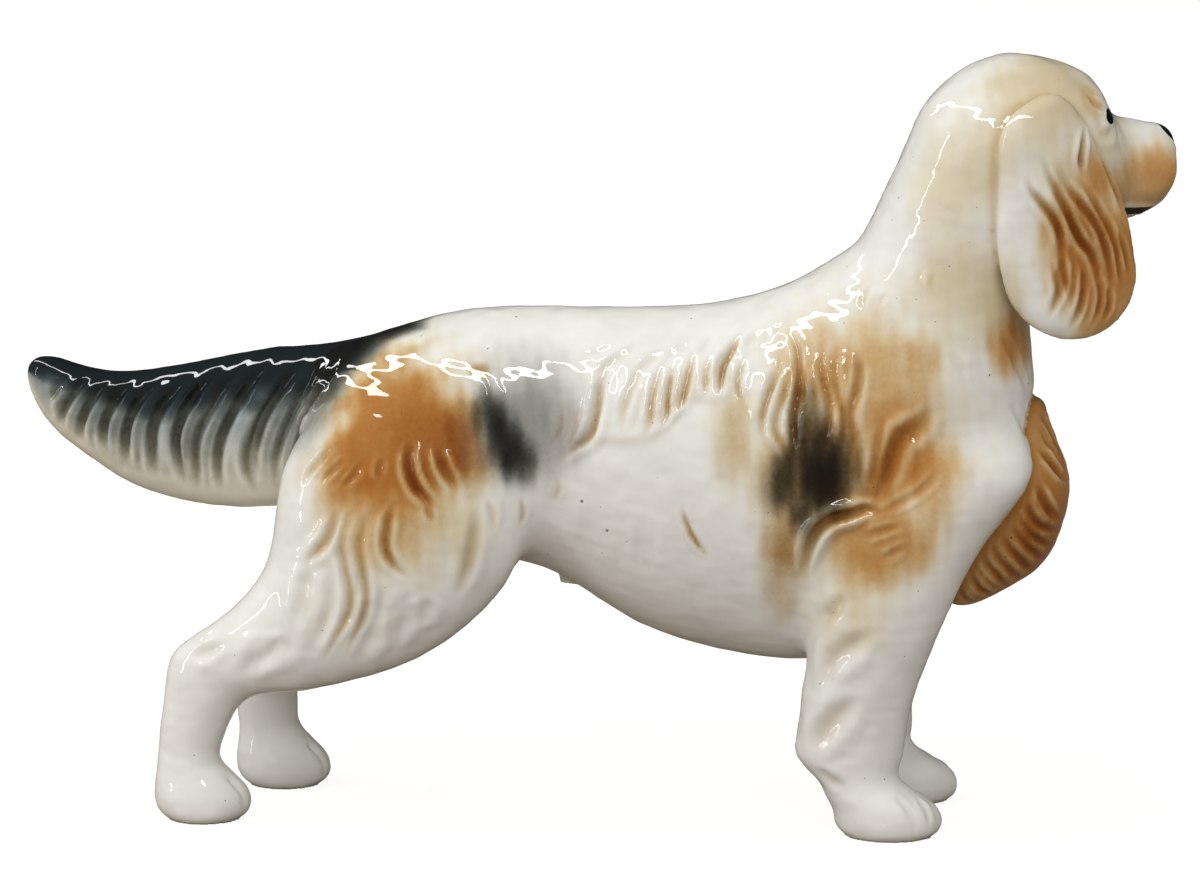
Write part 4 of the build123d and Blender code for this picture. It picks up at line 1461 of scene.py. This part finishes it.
@dataclass(frozen=True)
class Glaze:
    """One glossy coloured glaze, with the colours that the sprayer laid under it."""

    slot: str
    pooling: float = 0.45
    marks: tuple[BrushMark, ...] = ()
    ground: Colour = srgb(234, 233, 227)
    sand: Colour = srgb(206, 188, 150)
    tan: Colour = srgb(168, 101, 42)
    umber: Colour = srgb(92, 46, 10)
    smoke: Colour = srgb(118, 115, 110)
    black: Colour = srgb(20, 22, 20)
    clay: Colour = srgb(206, 190, 166)
    speck: Colour = srgb(58, 36, 16)
    specks: tuple[tuple[float, float, float], ...] = ((160.0, 0.10, 0.05), (620.0, 0.05, 0.09))
    speck_strength: float = 0.75
    bare_roughness: float = 1.2
    coat_roughness: float = 0.025
    coat_ior: float = 1.52
    flow_strength: float = 0.05
    flow_height: float = 0.001

    def build(self, groups: dict[str, bpy.types.NodeTree]) -> bpy.types.Material:
        """Makes the glaze's material.

        Args:
            groups: The shared node groups by name.

        Returns:
            The material.
        """
        material = bpy.data.materials.new(self.slot)
        material.use_nodes = True
        desk = Desk(material.node_tree)
        shader = material.node_tree.nodes["Principled BSDF"]
        coat = desk.group(groups["sprayed_coat"], Pooling=self.pooling)
        for name in ("Ground", "Smoke"):
            coat.inputs[name].default_value = (*getattr(self, name.lower()), 1.0)
        for name in ("Sand", "Tan", "Umber", "Black"):
            film = [c / g for c, g in zip(getattr(self, name.lower()), self.ground)]
            coat.inputs[name].default_value = (*film, 1.0)
        colour = coat.outputs["Color"]
        for mark in self.marks:
            brush = desk.group(groups["painted_mark"], Centre=mark.centre, Reach=mark.reach, Edge=mark.edge)
            colour = desk.mix(brush.outputs["Mask"], colour, mark.colour)
        for spacing, share, size in self.specks:
            dots = desk.group(groups["glaze_specks"], Spacing=spacing, Share=share, Size=size)
            shown = desk.math("MULTIPLY", dots.outputs["Mask"], self.speck_strength)
            colour = desk.mix(shown, colour, self.speck)
        place = desk.add("ShaderNodeSeparateXYZ")
        desk.join(desk.add("ShaderNodeTexCoord").outputs["Object"], place.inputs[0])
        glazed = desk.spread(place.outputs[2], 0.25 * MM, 0.7 * MM)
        colour = desk.mix(glazed, self.clay, colour)
        desk.join(colour, shader.inputs["Base Color"])
        flow = desk.group(groups["glaze_ripple"])
        smoother = desk.math("SUBTRACT", self.bare_roughness, flow.outputs["Sheen"])
        taken = desk.math("MULTIPLY", glazed, smoother)
        rough = desk.math("SUBTRACT", self.bare_roughness, taken, clamp=True)
        desk.join(rough, shader.inputs["Roughness"])
        shader.inputs["Specular IOR Level"].default_value = 0.0
        desk.join(glazed, shader.inputs["Coat Weight"])
        shader.inputs["Coat Roughness"].default_value = self.coat_roughness
        shader.inputs["Coat IOR"].default_value = self.coat_ior
        bump = desk.add("ShaderNodeBump")
        bump.inputs["Strength"].default_value = self.flow_strength
        bump.inputs["Distance"].default_value = self.flow_height
        desk.join(flow.outputs["Height"], bump.inputs["Height"])
        desk.join(bump.outputs[0], shader.inputs["Normal"])
        return material


INK = srgb(14, 14, 15)
FACE = (
    BrushMark(INK, (125.6, 13.6, 179.4), (1.6, 4.4, 2.1)),
    BrushMark(INK, (145.0, 0.0, 172.6), (3.6, 6.0, 4.6), 0.1),
    BrushMark(INK, (134.0, 6.0, 155.3), (9.6, 10.0, 1.15), 0.15),
)
GLAZES = (
    Glaze("body_glaze", 0.18),
    Glaze("head_glaze", 0.18, FACE),
    Glaze("ear_glaze", 0.3),
    Glaze("tail_glaze", 0.4, black=srgb(22, 31, 33)),
    Glaze("feather_glaze", 0.3),
    Glaze("leg_glaze", 0.18),
)


@dataclass(frozen=True)
class Lamp:
    """One soft box, which the glaze may mirror and whose light may spread over the figure."""

    name: str
    size: tuple[float, float]
    place: tuple[float, float, float]
    target: tuple[float, float, float]
    power: float
    mirrored: bool = True
    spreads: bool = True


@dataclass
class Studio:
    """The white table, the soft boxes and the camera."""

    azimuth: float = 6.0
    elevation: float = 9.0
    distance: float = 1.2
    target: tuple[float, float, float] = (0.0, 0.0, 0.1)
    lens: float = 142.2
    shift: tuple[float, float] = (0.0064, -0.01125)
    sky_front: float = 1.46
    sky_back: float = 0.22
    sky_mirrored: float = 0.12
    sky_way: tuple[float, float, float] = (-0.44, -0.85, 0.28)
    sky_colour: Colour = (1.0, 0.995, 0.985)
    table_size: float = 6.0
    table_colour: Colour = (0.22, 0.18, 0.135)
    table_glow: float = 0.9
    lamps: tuple[Lamp, ...] = (
        Lamp("overhead_panel", (1.8, 0.8), (-0.3, 0.3, 1.05), (0.0, 0.05, 0.1), 0.3, False),
        Lamp("long_strip", (2.6, 0.075), (-0.5, -0.22, 1.0), (-0.2, 0.0, 0.12), 10.0, spreads=False),
        Lamp("left_strip", (0.05, 0.9), (-1.4, -0.7, 0.55), (0.0, 0.0, 0.1), 2.2),
    )

    def build(self) -> None:
        """Sets up the table, the lamps, the sky and the camera."""
        self._table()
        for lamp in self.lamps:
            self._lamp(lamp)
        self._sky()
        self._camera()

    def _table(self) -> None:
        """Adds the pale table top that the figure stands on."""
        bpy.ops.object.select_all(action="DESELECT")
        bpy.ops.mesh.primitive_plane_add(size=self.table_size)
        table = bpy.context.active_object
        table.name = "table"
        material = bpy.data.materials.new("table_white")
        material.use_nodes = True
        desk = Desk(material.node_tree)
        shader = material.node_tree.nodes["Principled BSDF"]
        shader.inputs["Base Color"].default_value = (*self.table_colour, 1.0)
        shader.inputs["Roughness"].default_value = 0.9
        shader.inputs["Specular IOR Level"].default_value = 0.0
        shader.inputs["Emission Color"].default_value = (1.0, 1.0, 1.0, 1.0)
        glow = desk.math("MULTIPLY", self._seen(desk), self.table_glow)
        desk.join(glow, shader.inputs["Emission Strength"])
        table.data.materials.append(material)

    def _seen(self, desk: Desk) -> bpy.types.NodeSocket:
        """Gives 1 for a ray that shows the background, straight or through glass."""
        path = desk.add("ShaderNodeLightPath")
        return desk.math("MAXIMUM", path.outputs["Is Camera Ray"], path.outputs["Is Transmission Ray"])

    def _lamp(self, lamp: Lamp) -> None:
        """Hangs one soft box.

        Args:
            lamp: The soft box.
        """
        way = Vector(lamp.target) - Vector(lamp.place)
        turn = way.to_track_quat("-Z", "Y").to_euler()
        bpy.ops.object.select_all(action="DESELECT")
        bpy.ops.object.light_add(type="AREA", location=lamp.place, rotation=turn)
        light = bpy.context.active_object
        light.name = lamp.name
        light.data.shape = "RECTANGLE"
        light.data.size, light.data.size_y = lamp.size
        light.data.energy = lamp.power
        light.visible_camera = False
        light.visible_glossy = lamp.mirrored
        light.visible_diffuse = lamp.spreads

    def _sky(self) -> None:
        """Makes the room white where it is seen and softly lit elsewhere."""
        world = bpy.data.worlds.new("white_room")
        bpy.context.scene.world = world
        world.use_nodes = True
        desk = Desk(world.node_tree)
        back = world.node_tree.nodes["Background"]
        back.inputs["Color"].default_value = (*self.sky_colour, 1.0)
        path = desk.add("ShaderNodeLightPath")
        way = desk.add("ShaderNodeTexCoord").outputs["Generated"]
        front = desk.vector("DOT_PRODUCT", way, self.sky_way).outputs["Value"]
        glow = desk.spread(front, -0.6, 0.9, self.sky_back, self.sky_front, smooth=True)
        dimmed = desk.math("MULTIPLY", glow, self.sky_mirrored)
        glow = desk.mix_value(path.outputs["Is Glossy Ray"], glow, dimmed)
        desk.join(desk.math("MAXIMUM", self._seen(desk), glow), back.inputs["Strength"])

    def _camera(self) -> None:
        """Sets the camera at the photograph's viewing angle."""
        a, e = math.radians(self.azimuth), math.radians(self.elevation)
        back = Vector((math.sin(a) * math.cos(e), -math.cos(a) * math.cos(e), math.sin(e)))
        place = Vector(self.target) + back * self.distance
        bpy.ops.object.camera_add(location=place, rotation=back.to_track_quat("Z", "Y").to_euler())
        camera = bpy.context.active_object
        camera.name = "camera"
        camera.data.sensor_width = 36.0
        camera.data.lens = self.lens
        camera.data.shift_x, camera.data.shift_y = self.shift
        camera.data.clip_start = 0.01
        bpy.context.scene.camera = camera


def figure() -> list[Casting]:
    """Lists the castings in the order in which the potter works on them.

    Returns:
        The castings.
    """
    return [
        Trunk("trunk", "body_glaze"),
        Head("head", "head_glaze"),
        Ear("right_ear", "ear_glaze", Side.RIGHT),
        Ear("left_ear", "ear_glaze", Side.LEFT),
        Tail("tail", "tail_glaze"),
        ChestFeather("chest_feather", "feather_glaze"),
        ForeLeg("front_right_leg", "leg_glaze", Side.RIGHT),
        ForeLeg("front_left_leg", "leg_glaze", Side.LEFT, step=2.7),
        HindLeg("hind_right_leg", "leg_glaze", Side.RIGHT),
        HindLeg("hind_left_leg", "leg_glaze", Side.LEFT, step=14.0),
    ]


def main() -> None:
    """Builds the figure and its studio."""
    logging.basicConfig(level=logging.INFO, format="%(name)s %(message)s")
    skin = ClaySkin()
    skin.lute(frame["nodes"])
    castings = figure()
    for casting in castings:
        casting.carve(skin)
    skin.comb()
    for casting in castings:
        casting.colour(skin)
    skin.settle()
    skin.write()
    pieces = skin.part()
    groups = {tree.name: tree for tree in (sprayed_coat(), glaze_specks(), glaze_ripple(), painted_mark())}
    glazes = {glaze.slot: glaze.build(groups) for glaze in GLAZES}
    for casting in castings:
        casting.dress(pieces[casting.node], glazes)
    Studio().build()
    bpy.context.scene.view_settings.view_transform = "Standard"


if __name__ == "__main__":
    main()
